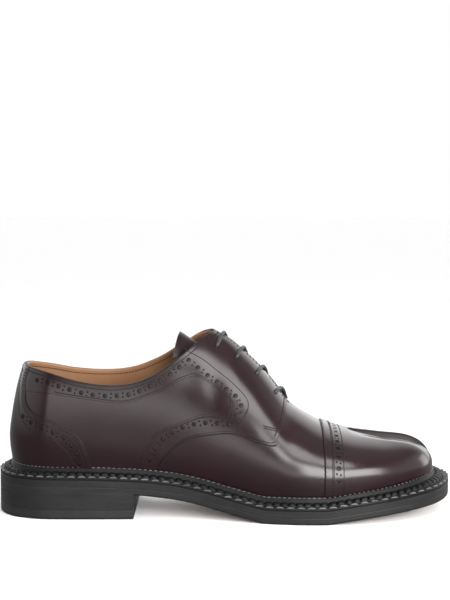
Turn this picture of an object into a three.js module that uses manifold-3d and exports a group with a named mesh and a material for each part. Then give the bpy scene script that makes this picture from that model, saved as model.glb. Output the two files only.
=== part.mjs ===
// Right shoe of a pair of men's brogues: open laced, straight toe cap, cleft toe, storm-welted double sole.
// Millimetres, +Z up, toe towards +X, outer side of the foot towards -Y.

import * as THREE from 'three';
import { mergeVertices } from 'three/addons/utils/BufferGeometryUtils.js';
import Module from 'manifold-3d';

const wasm = await Module();
wasm.setup();

// Sizes of the whole shoe.
const LENGTH = 305; // outsole from the back of the heel to the toe
const BALL_WIDTH = 106; // outsole across the ball of the foot
const INSTEP_HEIGHT = 120; // floor to the crest of the upper at the top lace
const HEEL_HEIGHT = 16; // floor to the underside of the outsole in front of the heel seat
const TOE_SPRING = 10; // floor to the underside of the outsole at the toe
const COLLAR_HALF = 33; // half the width of the collar at its widest

// Sole.
const TOP_LIFT = 6.4; // rubber lift under the heel
const HEEL_BREAST = 92.5; // back of the heel to its straight front face
const OUTSOLE = 4.4;
const MIDSOLE = 4.3;
const EDGE_ROUND = 1.3; // rounding of the lower corner of the outsole and of the top lift
const WELT_MARGIN = 6; // edge of the sole to the widest line of the upper, at the waist
const WELT_EDGE = 2.8; // height of the welt at its outer edge
const WELT_LIP = 8; // height of the storm lip that lies against the upper
const INSOLE = 3;

// Upper.
const SIDE_RISE = 20; // midsole to the widest line of the upper
const TUCK = 4; // how far the upper draws in from its widest line down to the midsole
const UPPER_WALL = 2.2; // leather and lining
const OVERLAY = 1.3; // leather of the cap, quarters and counter that lie on the upper
const RIDGE_BACK = 44; // back end of the crest line
const RIDGE_AHEAD = 55; // front end of the crest line to the toe
const RIDGE_FRONT = LENGTH - RIDGE_AHEAD;
const CLEFT_HALF = 4; // half the width of the cleft in the toe
const CLEFT_DEPTH = 10;
const CLEFT_ASIDE = 9.5; // the cleft lies this far towards the inner side
const THROAT_HALF = 2.3; // half the opening between the two facings
const THROAT_AHEAD = 1.804; // that opening reaches this far past the last outer eyelets
const CAP_LENGTH = 86; // toe cap, from its back edge to the toe
const CAP_EDGE = LENGTH - CAP_LENGTH;

// Tongue and lace.
const TONGUE = 2; // thickness
const TONGUE_HALF = 24; // half the width
const TONGUE_HANG = 4.3; // it hangs this far under the facings, clear of the lace
const TONGUE_LOW = 0.45; // its sides reach no lower than this share of the instep height
const EYELET_RADIUS = 1.9;
const EYELET_OUT = 17.5; // eyelet to the middle of the throat
const EYELET_FORWARD = 8; // the inner eyelets stand this far ahead of the outer ones
const LACE_RADIUS = 1.2;
const LACE_REST = 0.7; // between the lace and the leather under it

const GAP = 0.3; // between pieces that meet
const BEYOND = 20; // how far cutting solids reach past what they cut

// Fineness of the facets.
const STATIONS = 28; // along each side
const LEVELS = [-1, -0.5, 0, 0.24, 0.45, 0.62, 0.75, 0.86, 0.94, 0.999];

// Plan of the outsole. along: share of the length; outer and inner: shares of half the ball width.
const OUTLINE = [
  { along: 0, outer: 0, inner: 0 },
  { along: 0.0138, outer: 0.33, inner: 0.33 },
  { along: 0.0508, outer: 0.566, inner: 0.566 },
  { along: 0.1213, outer: 0.691, inner: 0.687 },
  { along: 0.2164, outer: 0.698, inner: 0.683 },
  { along: 0.3115, outer: 0.691, inner: 0.626 },
  { along: 0.4066, outer: 0.721, inner: 0.6 },
  { along: 0.4984, outer: 0.823, inner: 0.683 },
  { along: 0.5902, outer: 0.936, inner: 0.845 },
  { along: 0.6787, outer: 1, inner: 0.966 },
  { along: 0.7639, outer: 0.985, inner: 1.008 },
  { along: 0.8426, outer: 0.894, inner: 0.97 },
  { along: 0.9082, outer: 0.745, inner: 0.858 },
  { along: 0.9574, outer: 0.538, inner: 0.689 },
  { along: 0.9889, outer: 0.245, inner: 0.443 },
  { along: 1, outer: -0.113, inner: 0.113 },
];

// Underside of the outsole. along: share of the length; heel and toe: shares of the heel height and the toe spring.
const UNDERSIDE = [
  { along: 0, heel: 1.06, toe: 0 },
  { along: 0.0984, heel: 1.08, toe: 0 },
  { along: 0.1967, heel: 1.07, toe: 0 },
  { along: 0.3016, heel: 1, toe: 0 },
  { along: 0.3803, heel: 0.865, toe: 0 },
  { along: 0.4459, heel: 0.64, toe: 0 },
  { along: 0.4984, heel: 0.39, toe: 0 },
  { along: 0.5443, heel: 0.175, toe: 0 },
  { along: 0.5902, heel: 0, toe: 0 },
  { along: 0.7115, heel: 0, toe: 0 },
  { along: 0.7607, heel: 0, toe: 0.2 },
  { along: 0.8197, heel: 0, toe: 0.42 },
  { along: 0.8852, heel: 0, toe: 0.63 },
  { along: 0.9508, heel: 0, toe: 0.85 },
  { along: 1, heel: 0, toe: 1 },
];

// Cross sections of the upper. along: share of the length; margin: share of the welt margin; rise: share of the
// side rise; lean: how much the side leans in at the top; power: roundness of the side; crest: sideways place of the
// crest line as a share of half the ball width; top: height of the crest as a share of the instep height.
const SECTIONS = [
  { along: 0, margin: 1.36, rise: 1.3, lean: 0.325, power: 5, crest: 0, top: 0.925 },
  { along: 0.0492, margin: 1.2, rise: 1.3, lean: 0.27, power: 5, crest: 0, top: 0.925 },
  { along: 0.1311, margin: 0.933, rise: 1.2, lean: 0.15, power: 5, crest: 0, top: 0.933 },
  { along: 0.2164, margin: 0.9, rise: 1.1, lean: 0.13, power: 4.2, crest: 0, top: 0.96 },
  { along: 0.3115, margin: 0.9, rise: 1.05, lean: 0.12, power: 3.2, crest: 0.01, top: 1.01 },
  { along: 0.3934, margin: 0.933, rise: 1, lean: 0.1, power: 2.5, crest: 0.02, top: 1.052 },
  { along: 0.4492, margin: 0.967, rise: 1, lean: 0.08, power: 2.15, crest: 0.028, top: 1.036 },
  { along: 0.482, margin: 0.983, rise: 0.95, lean: 0.06, power: 2, crest: 0.038, top: 0.997 },
  { along: 0.5115, margin: 1, rise: 0.95, lean: 0.04, power: 2, crest: 0.038, top: 0.952 },
  { along: 0.541, margin: 1, rise: 0.9, lean: 0.02, power: 2, crest: 0.047, top: 0.886 },
  { along: 0.577, margin: 1, rise: 0.9, lean: 0, power: 2, crest: 0.057, top: 0.797 },
  { along: 0.6098, margin: 1, rise: 0.9, lean: 0, power: 2, crest: 0.06, top: 0.7 },
  { along: 0.6393, margin: 1, rise: 0.85, lean: 0, power: 2, crest: 0.066, top: 0.606 },
  { along: 0.6689, margin: 1.033, rise: 0.85, lean: 0, power: 2.05, crest: 0.075, top: 0.551 },
  { along: 0.718, margin: 1.1, rise: 0.8, lean: 0, power: 2.2, crest: 0.085, top: 0.48 },
  { along: 0.7607, margin: 1.167, rise: 0.75, lean: 0, power: 2.35, crest: 0.094, top: 0.438 },
  { along: 0.8066, margin: 1.3, rise: 0.7, lean: 0, power: 2.45, crest: 0.106, top: 0.4165 },
  { along: 0.859, margin: 1.5, rise: 0.65, lean: 0, power: 2.35, crest: 0.113, top: 0.4075 },
  { along: 0.9344, margin: 1.767, rise: 0.6, lean: 0, power: 2.3, crest: 0.113, top: 0.422 },
  { along: 1, margin: 1.9, rise: 0.55, lean: 0, power: 2.3, crest: 0.113, top: 0.421 },
];

// Lines seen from the side. along: share of the length; up: share of the instep height. The topline's tilt, also such
// a share, is how much higher the inner side of the collar lies.
const TOPLINE = [
  { along: -0.07, up: 0.8374, tilt: -0.016 },
  { along: 0.0574, up: 0.8324, tilt: -0.014 },
  { along: 0.0767, up: 0.8194, tilt: -0.0167 },
  { along: 0.1082, up: 0.8024, tilt: -0.018 },
  { along: 0.1367, up: 0.7824, tilt: -0.013 },
  { along: 0.1652, up: 0.7574, tilt: 0.0017 },
  { along: 0.2259, up: 0.7284, tilt: 0.024 },
  { along: 0.2613, up: 0.7214, tilt: 0.037 },
  { along: 0.2951, up: 0.7284, tilt: 0.048 },
  { along: 0.3433, up: 0.7684, tilt: 0.06 },
  { along: 0.3649, up: 0.7964, tilt: 0.06 },
  { along: 0.3895, up: 0.8444, tilt: 0.0575 },
  { along: 0.4213, up: 0.9014, tilt: 0.054 },
  { along: 0.4551, up: 0.9654, tilt: 0.044 },
  { along: 0.4689, up: 0.9804, tilt: 0.036 },
  { along: 0.5, up: 0.9874, tilt: 0.03 },
];
const QUARTER_FRONT = [
  { along: 0.6377, up: 0.69 },
  { along: 0.6334, up: 0.622 },
  { along: 0.6308, up: 0.585 },
  { along: 0.621, up: 0.504 },
  { along: 0.6089, up: 0.437 },
  { along: 0.5967, up: 0.431 },
  { along: 0.5528, up: 0.463 },
  { along: 0.5203, up: 0.487 },
  { along: 0.4833, up: 0.486 },
  { along: 0.4466, up: 0.471 },
  { along: 0.4203, up: 0.455 },
  { along: 0.3987, up: 0.424 },
  { along: 0.3816, up: 0.385 },
  { along: 0.3646, up: 0.336 },
  { along: 0.3525, up: 0.292 },
  { along: 0.348, up: 0.2 },
];
const QUARTER_INNER = [
  { along: 0.317, up: 0.2 },
  { along: 0.3187, up: 0.308 },
  { along: 0.3236, up: 0.368 },
  { along: 0.3357, up: 0.413 },
  { along: 0.3525, up: 0.469 },
  { along: 0.3767, up: 0.501 },
  { along: 0.4013, up: 0.526 },
  { along: 0.4348, up: 0.56 },
  { along: 0.4702, up: 0.576 },
  { along: 0.502, up: 0.57 },
  { along: 0.5138, up: 0.632 },
  { along: 0.5115, up: 0.657 },
  { along: 0.4931, up: 0.701 },
  { along: 0.4639, up: 0.748 },
  { along: 0.4354, up: 0.785 },
  { along: 0.407, up: 0.765 },
  { along: 0.3626, up: 0.701 },
  { along: 0.3311, up: 0.672 },
  { along: 0.2852, up: 0.639 },
  { along: 0.2187, up: 0.653 },
  { along: 0.1325, up: 0.688 },
  { along: 0.03, up: 0.7 },
];
const COUNTER_EDGE = [
  { along: 0.08, up: 0.9 },
  { along: 0.079, up: 0.825 },
  { along: 0.0698, up: 0.767 },
  { along: 0.0672, up: 0.696 },
  { along: 0.0689, up: 0.627 },
  { along: 0.0797, up: 0.589 },
  { along: 0.1095, up: 0.551 },
  { along: 0.138, up: 0.522 },
  { along: 0.1675, up: 0.481 },
  { along: 0.1869, up: 0.441 },
  { along: 0.1993, up: 0.38 },
  { along: 0.2089, up: 0.3 },
  { along: 0.21, up: 0.2 },
];

// Cleft of the toe, seen from the side. deep: share of the cleft depth.
const CLEFT = [
  { along: 0.774, up: 0.437, deep: 0.05 },
  { along: 0.8, up: 0.43, deep: 0.45 },
  { along: 0.845, up: 0.422, deep: 0.8 },
  { along: 0.89, up: 0.412, deep: 1 },
  { along: 0.922, up: 0.39, deep: 1 },
  { along: 0.945, up: 0.345, deep: 0.9 },
  { along: 0.956, up: 0.29, deep: 0.7 },
  { along: 0.96, up: 0.22, deep: 0.5 },
];
// Plan of the opening between the facings, past its straight part. half: share of the eyelet distance.
const FACING_FLARE = [
  { along: 0.59, half: 0.15 },
  { along: 0.613, half: 0.22 },
  { along: 0.624, half: 0.45 },
  { along: 0.633, half: 0.8 },
  { along: 0.65, half: 1.3 },
];
// Tongue. sink: how far it hangs under the facings; half: share of half its width.
const TONGUE_SINK = [
  { along: 0, sink: 1 },
  { along: 0.645, sink: 1 },
  { along: 0.69, sink: 0 },
  { along: 1, sink: 0 },
];
const TONGUE_PLAN = [
  { along: 0.39, half: 0.1 },
  { along: 0.392, half: 0.6 },
  { along: 0.402, half: 0.86 },
  { along: 0.43, half: 0.95 },
  { along: 0.5, half: 1 },
  { along: 0.6, half: 1 },
  { along: 0.69, half: 0.95 },
  { along: 0.71, half: 0.7 },
];
const EYELETS = [{ along: 0.4807 }, { along: 0.523 }, { along: 0.5669 }, { along: 0.6072 }];
const THROAT_END = EYELETS[EYELETS.length - 1].along * LENGTH + THROAT_AHEAD;

// Colours: burnished oxblood leather, its tan lining, blackened soles and dark lace.
const COLOUR = {
  upper: 0x3c2a2d,
  overlay: 0x40303a,
  lining: 0xb27a4b,
  edge: 0x2b2b2c,
  welt: 0x343434,
  rubber: 0x232426,
  lace: 0x45403f,
};

const HALF_BALL = BALL_WIDTH / 2;

// Smooth curve through the rows of a table, without overshoot between them.
function curveOf(rows, column, place = (row) => row.along) {
  const at = rows.map(place);
  const value = rows.map((row) => row[column]);
  const slope = at.slice(1).map((a, i) => (value[i + 1] - value[i]) / (a - at[i]));
  const tangent = at.map((_, i) => {
    if (i === 0) return slope[0];
    if (i === at.length - 1) return slope[i - 1];
    if (slope[i - 1] * slope[i] <= 0) return 0;
    const before = at[i] - at[i - 1];
    const after = at[i + 1] - at[i];
    const near = 2 * after + before;
    const far = after + 2 * before;
    return (near + far) / (near / slope[i - 1] + far / slope[i]);
  });
  return (x) => {
    const clamped = Math.min(Math.max(x, at[0]), at[at.length - 1]);
    let i = 0;
    while (i < at.length - 2 && clamped > at[i + 1]) i += 1;
    const step = at[i + 1] - at[i];
    const t = (clamped - at[i]) / step;
    const rise = (1 + 2 * t) * (1 - t) ** 2 * value[i] + t * t * (3 - 2 * t) * value[i + 1];
    return rise + step * (t * (1 - t) ** 2 * tangent[i] - t * t * (1 - t) * tangent[i + 1]);
  };
}

// The round ends of the outline are smooth when its rows are spaced by this turn instead of by length.
const turnOf = (along) => Math.acos(1 - 2 * along) / Math.PI;
const outerHalf = curveOf(OUTLINE, 'outer', (row) => turnOf(row.along));
const innerHalf = curveOf(OUTLINE, 'inner', (row) => turnOf(row.along));
const heelShare = curveOf(UNDERSIDE, 'heel');
const toeShare = curveOf(UNDERSIDE, 'toe');
const section = Object.fromEntries(
  ['margin', 'rise', 'lean', 'power', 'crest', 'top'].map((name) => [name, curveOf(SECTIONS, name)]),
);

// Heights along the shoe.
const underside = (x) => HEEL_HEIGHT * heelShare(x / LENGTH) + TOE_SPRING * toeShare(x / LENGTH);
const midsoleBottom = (x) => underside(x) + OUTSOLE + GAP;
const midsoleTop = (x) => midsoleBottom(x) + MIDSOLE;
const featherline = (x) => midsoleTop(x) + GAP;
const lipTop = (x) => featherline(x) + WELT_LIP;

// Edge of the outsole as a closed loop from the back, along the outer side to the toe and back along the inner side.
const EDGE = [];
for (let i = 0; i < 2 * STATIONS; i += 1) {
  const turn = i <= STATIONS ? i / STATIONS : 2 - i / STATIONS;
  const x = (LENGTH * (1 - Math.cos(Math.PI * turn))) / 2;
  const y = i <= STATIONS ? -outerHalf(turn) : innerHalf(turn);
  EDGE.push(new THREE.Vector2(x, y * HALF_BALL));
}
const INWARD = EDGE.map((_, i) => {
  const ahead = EDGE[(i + 1) % EDGE.length];
  const behind = EDGE[(i + EDGE.length - 1) % EDGE.length];
  const along = ahead.clone().sub(behind).normalize();
  return new THREE.Vector2(-along.y, along.x);
});

// The edge moved inwards, at heights given along the shoe. Both may be numbers or depend on the place.
function ring(inset, height) {
  return EDGE.map((p, i) => {
    const by = typeof inset === 'function' ? inset(p.x) : inset;
    const x = p.x + INWARD[i].x * by;
    const y = p.y + INWARD[i].y * by;
    return new THREE.Vector3(x, y, typeof height === 'function' ? height(x) : height);
  });
}

// Closed solid from triangles given by their corners.
function solidOf(positions, faces) {
  const geometry = new THREE.BufferGeometry();
  geometry.setAttribute('position', new THREE.Float32BufferAttribute(positions, 3));
  geometry.setIndex(faces);
  return solidFrom(geometry);
}

function solidFrom(geometry) {
  geometry.deleteAttribute('normal');
  geometry.deleteAttribute('uv');
  const merged = mergeVertices(geometry, 1e-4);
  const mesh = { numProp: 3, vertProperties: merged.attributes.position.array, triVerts: merged.index.array };
  mesh.triVerts = new Uint32Array(mesh.triVerts);
  return new wasm.Manifold(new wasm.Mesh(mesh));
}

// Solid between rings that lie one above the other. Each end is closed by rungs from the outer to the inner side.
function loft(rings) {
  const count = rings[0].length;
  const half = count / 2;
  const faces = [];
  for (let r = 0; r + 1 < rings.length; r += 1) {
    for (let i = 0; i < count; i += 1) {
      const a = r * count + i;
      const b = r * count + ((i + 1) % count);
      faces.push(a, b, b + count, a, b + count, a + count);
    }
  }
  const last = (rings.length - 1) * count;
  for (let i = 0; i < half; i += 1) {
    const outer = [i, i + 1];
    const inner = [(count - i) % count, count - i - 1];
    if (i > 0) faces.push(outer[0], inner[0], outer[1], last + outer[0], last + outer[1], last + inner[0]);
    if (i + 1 < half) faces.push(outer[1], inner[0], inner[1], last + outer[1], last + inner[1], last + inner[0]);
  }
  return solidOf(rings.flat().flatMap((p) => [p.x, p.y, p.z]), faces);
}

// Surface of the upper: rows of points, one row for each level from the feather line over the widest line to the crest.
function skin(stations = EDGE, inward = INWARD) {
  return LEVELS.map((level) => stations.map((p, i) => skinPoint(p, inward[i], level)));
}

function skinPoint(edge, inward, level) {
  const margin = WELT_MARGIN * section.margin(edge.x / LENGTH);
  const wide = edge.clone().addScaledVector(inward, margin);
  const share = wide.x / LENGTH;
  const crestX = Math.min(Math.max(wide.x, RIDGE_BACK), RIDGE_FRONT);
  const crest = new THREE.Vector2(crestX, HALF_BALL * section.crest(crestX / LENGTH));
  const low = featherline(wide.x);
  const middle = low + SIDE_RISE * section.rise(share);
  if (level < 0) {
    const draw = TUCK * level * level;
    const reach = wide.clone().sub(crest);
    const p = crest.addScaledVector(reach, 1 - draw / reach.length());
    return new THREE.Vector3(p.x, p.y, middle + (middle - low) * level);
  }
  const rise = Math.sin((level * Math.PI) / 2);
  const power = section.power(share);
  const round = (1 - rise ** power) ** (1 / power);
  const keep = round * (1 - section.lean(share) * rise ** 1.2);
  const p = crest.lerp(wide, keep);
  const top = INSTEP_HEIGHT * section.top(p.x / LENGTH);
  return new THREE.Vector3(p.x, p.y, middle + (top - middle) * rise);
}

// Outward direction at each point of the skin.
function normalsOf(rows) {
  const count = rows[0].length;
  return rows.map((row, r) => row.map((_, i) => {
    const ahead = row[(i + 1) % count].clone().sub(row[(i + count - 1) % count]);
    const up = rows[Math.min(r + 1, rows.length - 1)][i].clone().sub(rows[Math.max(r - 1, 0)][i]);
    return ahead.cross(up).normalize();
  }));
}
const SKIN = skin();
const SKIN_OUT = normalsOf(SKIN);

// Closed form of the foot, thicker than the skin by an amount that may depend on the place. It can reach below the
// feather line, so that it cuts cleanly.
function form(thicker, below = 0) {
  const rows = SKIN.map((row, r) => row.map((p, i) => {
    const by = typeof thicker === 'function' ? thicker(p.x) : thicker;
    const moved = p.clone().addScaledVector(SKIN_OUT[r][i], by);
    if (r === 0) moved.z = featherline(p.x);
    return moved;
  }));
  if (below > 0) rows.unshift(rows[0].map((p) => new THREE.Vector3(p.x, p.y, p.z - below)));
  return loft(rows);
}

// Point of the skin on one side (-1 outer, 1 inner), this far along and out from the crest line.
function skinAt(x, side, out) {
  const turn = turnOf(x / LENGTH);
  const halfAt = side < 0 ? outerHalf : innerHalf;
  const edge = new THREE.Vector2(x, side * halfAt(turn) * HALF_BALL);
  const inward = new THREE.Vector2(0, -side);
  let low = 0;
  let high = 1;
  for (let i = 0; i < 40; i += 1) {
    const level = (low + high) / 2;
    const p = skinPoint(edge, inward, level);
    if (Math.abs(p.y - HALF_BALL * section.crest(x / LENGTH)) > out) low = level;
    else high = level;
  }
  return skinPoint(edge, inward, low);
}

// Outward direction there, from two neighbours on the skin.
function outAt(x, side, out) {
  const here = skinAt(x, side, out);
  const ahead = skinAt(x + 1, side, out).sub(here);
  const inwards = skinAt(x, side, out - 1).sub(here);
  return ahead.cross(inwards).multiplyScalar(-side).normalize();
}

// Points of a table line, in millimetres, rounded between the rows.
function lineOf(rows, fine = 2) {
  const points = rows.map((row) => new THREE.Vector2(row.along * LENGTH, row.up * INSTEP_HEIGHT));
  const curve = new THREE.SplineCurve(points);
  return Array.from({ length: fine * (rows.length - 1) + 1 }, (_, i) => curve.getPoint(i / (fine * (rows.length - 1))));
}

// Solid with this outline seen from the side, between two sideways places.
function sidePrism(points, from, to, lift = () => 0) {
  const geometry = new THREE.ExtrudeGeometry(new THREE.Shape(points), { depth: to - from, bevelEnabled: false });
  geometry.rotateX(Math.PI / 2);
  geometry.translate(0, to, 0);
  const corners = geometry.attributes.position;
  for (let k = 0; k < corners.count; k += 1) {
    corners.setZ(k, corners.getZ(k) + lift(corners.getX(k), corners.getY(k)));
  }
  return solidFrom(geometry);
}

// Solid with this outline seen from above, between two heights.
function planPrism(points, from, to) {
  const geometry = new THREE.ExtrudeGeometry(new THREE.Shape(points), { depth: to - from, bevelEnabled: false });
  geometry.translate(0, 0, from);
  return solidFrom(geometry);
}

const WIDE = BALL_WIDTH;
const HIGH = INSTEP_HEIGHT + 2 * BEYOND;
const v2 = (x, y) => new THREE.Vector2(x, y);

// Everything above the topline, which climbs towards the inner side.
function aboveTopline() {
  const line = lineOf(TOPLINE);
  const last = line[line.length - 1];
  const outline = [...line, v2(last.x + BEYOND, HIGH), v2(-BEYOND, HIGH)];
  const tilt = curveOf(TOPLINE, 'tilt');
  const lift = (x, y) => tilt(x / LENGTH) * INSTEP_HEIGHT * (y + COLLAR_HALF) / (2 * COLLAR_HALF);
  return sidePrism(outline, -WIDE, WIDE, lift);
}

// Gap between the facings, seen from above. The overlays open out at its front end.
function throat(half, end, flared) {
  const from = TOPLINE[TOPLINE.length - 3].along * LENGTH;
  const middle = (x) => HALF_BALL * section.crest(x / LENGTH);
  const edge = [v2(from - BEYOND, half), v2(end - half, half)];
  if (flared) FACING_FLARE.forEach((row) => edge.push(v2(row.along * LENGTH, row.half * EYELET_OUT)));
  else edge.push(v2(end, half / 2));
  const outer = edge.map((p) => v2(p.x, middle(p.x) - p.y));
  const inner = edge.map((p) => v2(p.x, middle(p.x) + p.y)).reverse();
  return planPrism([...outer, ...inner], INSTEP_HEIGHT / 2, HIGH);
}

// Groove between the two lobes of the toe, wider and deeper by this much.
function cleft(more) {
  const across = [-1, -0.62, 0, 0.62, 1];
  const depth = [0, 0.72, 1, 0.72, 0];
  const path = CLEFT.map((row) => v2(row.along * LENGTH, row.up * INSTEP_HEIGHT));
  const rings = across.map((share, k) => {
    const floor = CLEFT.map((row, i) => {
      const ahead = path[Math.min(i + 1, path.length - 1)].clone().sub(path[Math.max(i - 1, 0)]).normalize();
      const down = v2(ahead.y, -ahead.x);
      const sunk = depth[k] * (CLEFT_DEPTH * row.deep + more) - (1 - depth[k]) * OVERLAY;
      return path[i].clone().addScaledVector(down, sunk);
    });
    floor.unshift(v2(floor[0].x - more, path[0].y + OVERLAY));
    const far = [v2(LENGTH + BEYOND, floor[floor.length - 1].y), v2(LENGTH + BEYOND, HIGH), v2(floor[0].x, HIGH)];
    return [...floor, ...far].map((p) => new THREE.Vector3(p.x, CLEFT_ASIDE + share * (CLEFT_HALF + more), p.y));
  });
  return band(rings);
}

// Solid through flat rings of equal count that follow each other sideways.
function band(rings) {
  const count = rings[0].length;
  const faces = [];
  for (let r = 0; r + 1 < rings.length; r += 1) {
    for (let i = 0; i < count; i += 1) {
      const a = r * count + i;
      const b = r * count + ((i + 1) % count);
      faces.push(a, b + count, b, a, a + count, b + count);
    }
  }
  const flat = THREE.ShapeUtils.triangulateShape(rings[0].map((p) => v2(p.x, p.z)), []);
  const far = THREE.ShapeUtils.triangulateShape(rings[rings.length - 1].map((p) => v2(p.x, p.z)), []);
  const last = (rings.length - 1) * count;
  flat.forEach(([a, b, c]) => faces.push(a, b, c));
  far.forEach(([a, b, c]) => faces.push(last + a, last + c, last + b));
  const solid = solidOf(rings.flat().flatMap((p) => [p.x, p.y, p.z]), faces);
  return solid;
}

const root = new THREE.Group();
root.name = 'brogue';

function add(name, colour, roughness, solid) {
  const mesh = solid.getMesh();
  const geometry = new THREE.BufferGeometry();
  geometry.setAttribute('position', new THREE.BufferAttribute(new Float32Array(mesh.vertProperties), 3));
  geometry.setIndex(new THREE.BufferAttribute(new Uint32Array(mesh.triVerts), 1));
  geometry.computeVertexNormals();
  const material = new THREE.MeshStandardMaterial({ color: colour, roughness, metalness: 0, flatShading: true });
  const node = new THREE.Mesh(geometry, material);
  node.name = name;
  root.add(node);
}

// Outsole, midsole and the two parts of the heel.
add('outsole', COLOUR.edge, 0.5, loft([
  ring(EDGE_ROUND, underside),
  ring(0, (x) => underside(x) + EDGE_ROUND),
  ring(0, (x) => underside(x) + OUTSOLE),
]));
add('midsole', COLOUR.edge, 0.5, loft([ring(0, midsoleBottom), ring(0, midsoleTop)]));

const behindBreast = () => planPrism([v2(-BEYOND, -WIDE), v2(HEEL_BREAST, -WIDE), v2(HEEL_BREAST, WIDE), v2(-BEYOND, WIDE)], -BEYOND, HIGH);
const heelSeat = (x) => underside(Math.min(x, HEEL_BREAST)) - GAP;
add('heel', COLOUR.edge, 0.45, loft([ring(0, TOP_LIFT + GAP), ring(0, heelSeat)]).intersect(behindBreast()));
add('top_lift', COLOUR.rubber, 0.7, loft([
  ring(EDGE_ROUND / 2, 0),
  ring(0, EDGE_ROUND / 2),
  ring(0, TOP_LIFT),
]).intersect(behindBreast()));

// What stands on the midsole is cut by it, so that its underside follows the same facets.
const bed = loft([ring(0, (x) => midsoleTop(x) - BEYOND), ring(0, midsoleTop)]).translate([0, 0, GAP]);
const seated = (x) => featherline(x) - WELT_EDGE / 2;

// Storm welt: flat outer edge, ribbed slope, groove and the raised lip against the upper.
const lipInset = (x) => WELT_MARGIN * section.margin(x / LENGTH) + TUCK / 2;
const weltRow = (across, up) => ring((x) => across * lipInset(x), (x) => featherline(x) + up);
const under = TUCK + UPPER_WALL;
add('welt', COLOUR.welt, 0.55, loft([
  ring((x) => lipInset(x) + under, seated),
  ring(0, seated),
  weltRow(0, WELT_EDGE),
  weltRow(0.42, WELT_EDGE + WELT_LIP * 0.3),
  weltRow(0.5, WELT_EDGE + WELT_LIP * 0.22),
  weltRow(0.68, WELT_LIP * 0.92),
  ring((x) => lipInset(x) + under, (x) => featherline(x) + WELT_LIP),
]).subtract(form(GAP, BEYOND)).subtract(bed));

const insoleInset = (x) => WELT_MARGIN * section.margin(x / LENGTH) + TUCK + UPPER_WALL + 2 * GAP;
add('insole', COLOUR.lining, 0.6, loft([
  ring(insoleInset, seated),
  ring(insoleInset, (x) => featherline(x) + INSOLE),
]).subtract(bed));

// Upper: the form of the foot less its inside, open at the collar, at the throat and underneath.
const outerForm = form(0, WELT_EDGE);
const innerForm = form(-UPPER_WALL, BEYOND);
const topline = aboveTopline();

// Eyelet holes and the lace that runs through them.
const eyelets = EYELETS.map((row) => [-1, 1].map((side) => {
  const x = row.along * LENGTH + (side > 0 ? EYELET_FORWARD : 0);
  return { at: skinAt(x, side, EYELET_OUT), out: outAt(x, side, EYELET_OUT) };
}));
function hole({ at, out }) {
  const geometry = new THREE.CylinderGeometry(EYELET_RADIUS, EYELET_RADIUS, BEYOND, 8);
  geometry.applyQuaternion(new THREE.Quaternion().setFromUnitVectors(new THREE.Vector3(0, 1, 0), out));
  geometry.translate(at.x, at.y, at.z);
  return solidFrom(geometry);
}
const holes = wasm.Manifold.union(eyelets.flat().map(hole));

const cupped = (thicker, more, below) => form(thicker, below).subtract(cleft(more));
const upper = outerForm.subtract(cleft(OVERLAY + GAP))
  .subtract(innerForm.subtract(cleft(OVERLAY + GAP + UPPER_WALL)))
  .subtract(bed)
  .subtract(topline)
  .subtract(throat(THROAT_HALF, THROAT_END, false))
  .subtract(holes);
add('upper', COLOUR.upper, 0.35, upper);

// Leather that lies on the upper, down to just above the welt.
const aboveWelt = loft([ring(-BEYOND, (x) => lipTop(x) + GAP), ring(-BEYOND, HIGH)]);
const overlay = form(GAP + OVERLAY).subtract(form(GAP, BEYOND)).intersect(aboveWelt).subtract(topline);

const counterLine = lineOf(COUNTER_EDGE);
const counterPrism = sidePrism([...counterLine, v2(-BEYOND, counterLine[counterLine.length - 1].y), v2(-BEYOND, counterLine[0].y)], -WIDE, WIDE);
add('heel_counter', COLOUR.overlay, 0.35, overlay.intersect(counterPrism));

const quarterLine = [...lineOf(QUARTER_FRONT, 1), ...lineOf(QUARTER_INNER, 1)];
const quarterOutline = [v2(-BEYOND, HIGH), v2(QUARTER_FRONT[0].along * LENGTH, HIGH), ...quarterLine, v2(-BEYOND, quarterLine[quarterLine.length - 1].y)];
const throatMiddle = HALF_BALL * section.crest(THROAT_END / LENGTH);
const quarters = overlay
  .subtract(throat(THROAT_HALF, THROAT_END, true))
  .subtract(counterPrism.translate([GAP, 0, 0]))
  .subtract(holes);
add('quarter_outer', COLOUR.overlay, 0.35, quarters.intersect(sidePrism(quarterOutline, -WIDE, throatMiddle)));
add('quarter_inner', COLOUR.overlay, 0.35, quarters.intersect(sidePrism(quarterOutline, throatMiddle, WIDE)));

const aheadOfCap = planPrism([v2(CAP_EDGE, -WIDE), v2(LENGTH + BEYOND, -WIDE), v2(LENGTH + BEYOND, WIDE), v2(CAP_EDGE, WIDE)], -BEYOND, HIGH);
add('toe_cap', COLOUR.overlay, 0.3, cupped(GAP + OVERLAY, 0, 0).subtract(cupped(GAP, OVERLAY, BEYOND)).intersect(aboveWelt).intersect(aheadOfCap));

// Tongue: a tab of leather under the facings. It hangs clear of the lace and meets the upper ahead of the throat.
const tongueTop = curveOf(TONGUE_SINK, 'sink');
const sink = (x) => -UPPER_WALL - GAP - tongueTop(x / LENGTH) * TONGUE_HANG;
const tonguePlan = TONGUE_PLAN.map((row) => v2(row.along * LENGTH, row.half * TONGUE_HALF));
const crestAt = (x) => HALF_BALL * section.crest(x / LENGTH);
const tongueOutline = [
  ...tonguePlan.map((p) => v2(p.x, crestAt(p.x) - p.y)),
  ...tonguePlan.map((p) => v2(p.x, crestAt(p.x) + p.y)).reverse(),
];
add('tongue', COLOUR.upper, 0.45, form(sink).subtract(form((x) => sink(x) - TONGUE, BEYOND))
  .intersect(planPrism(tongueOutline, INSTEP_HEIGHT * TONGUE_LOW, HIGH)));

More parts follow.
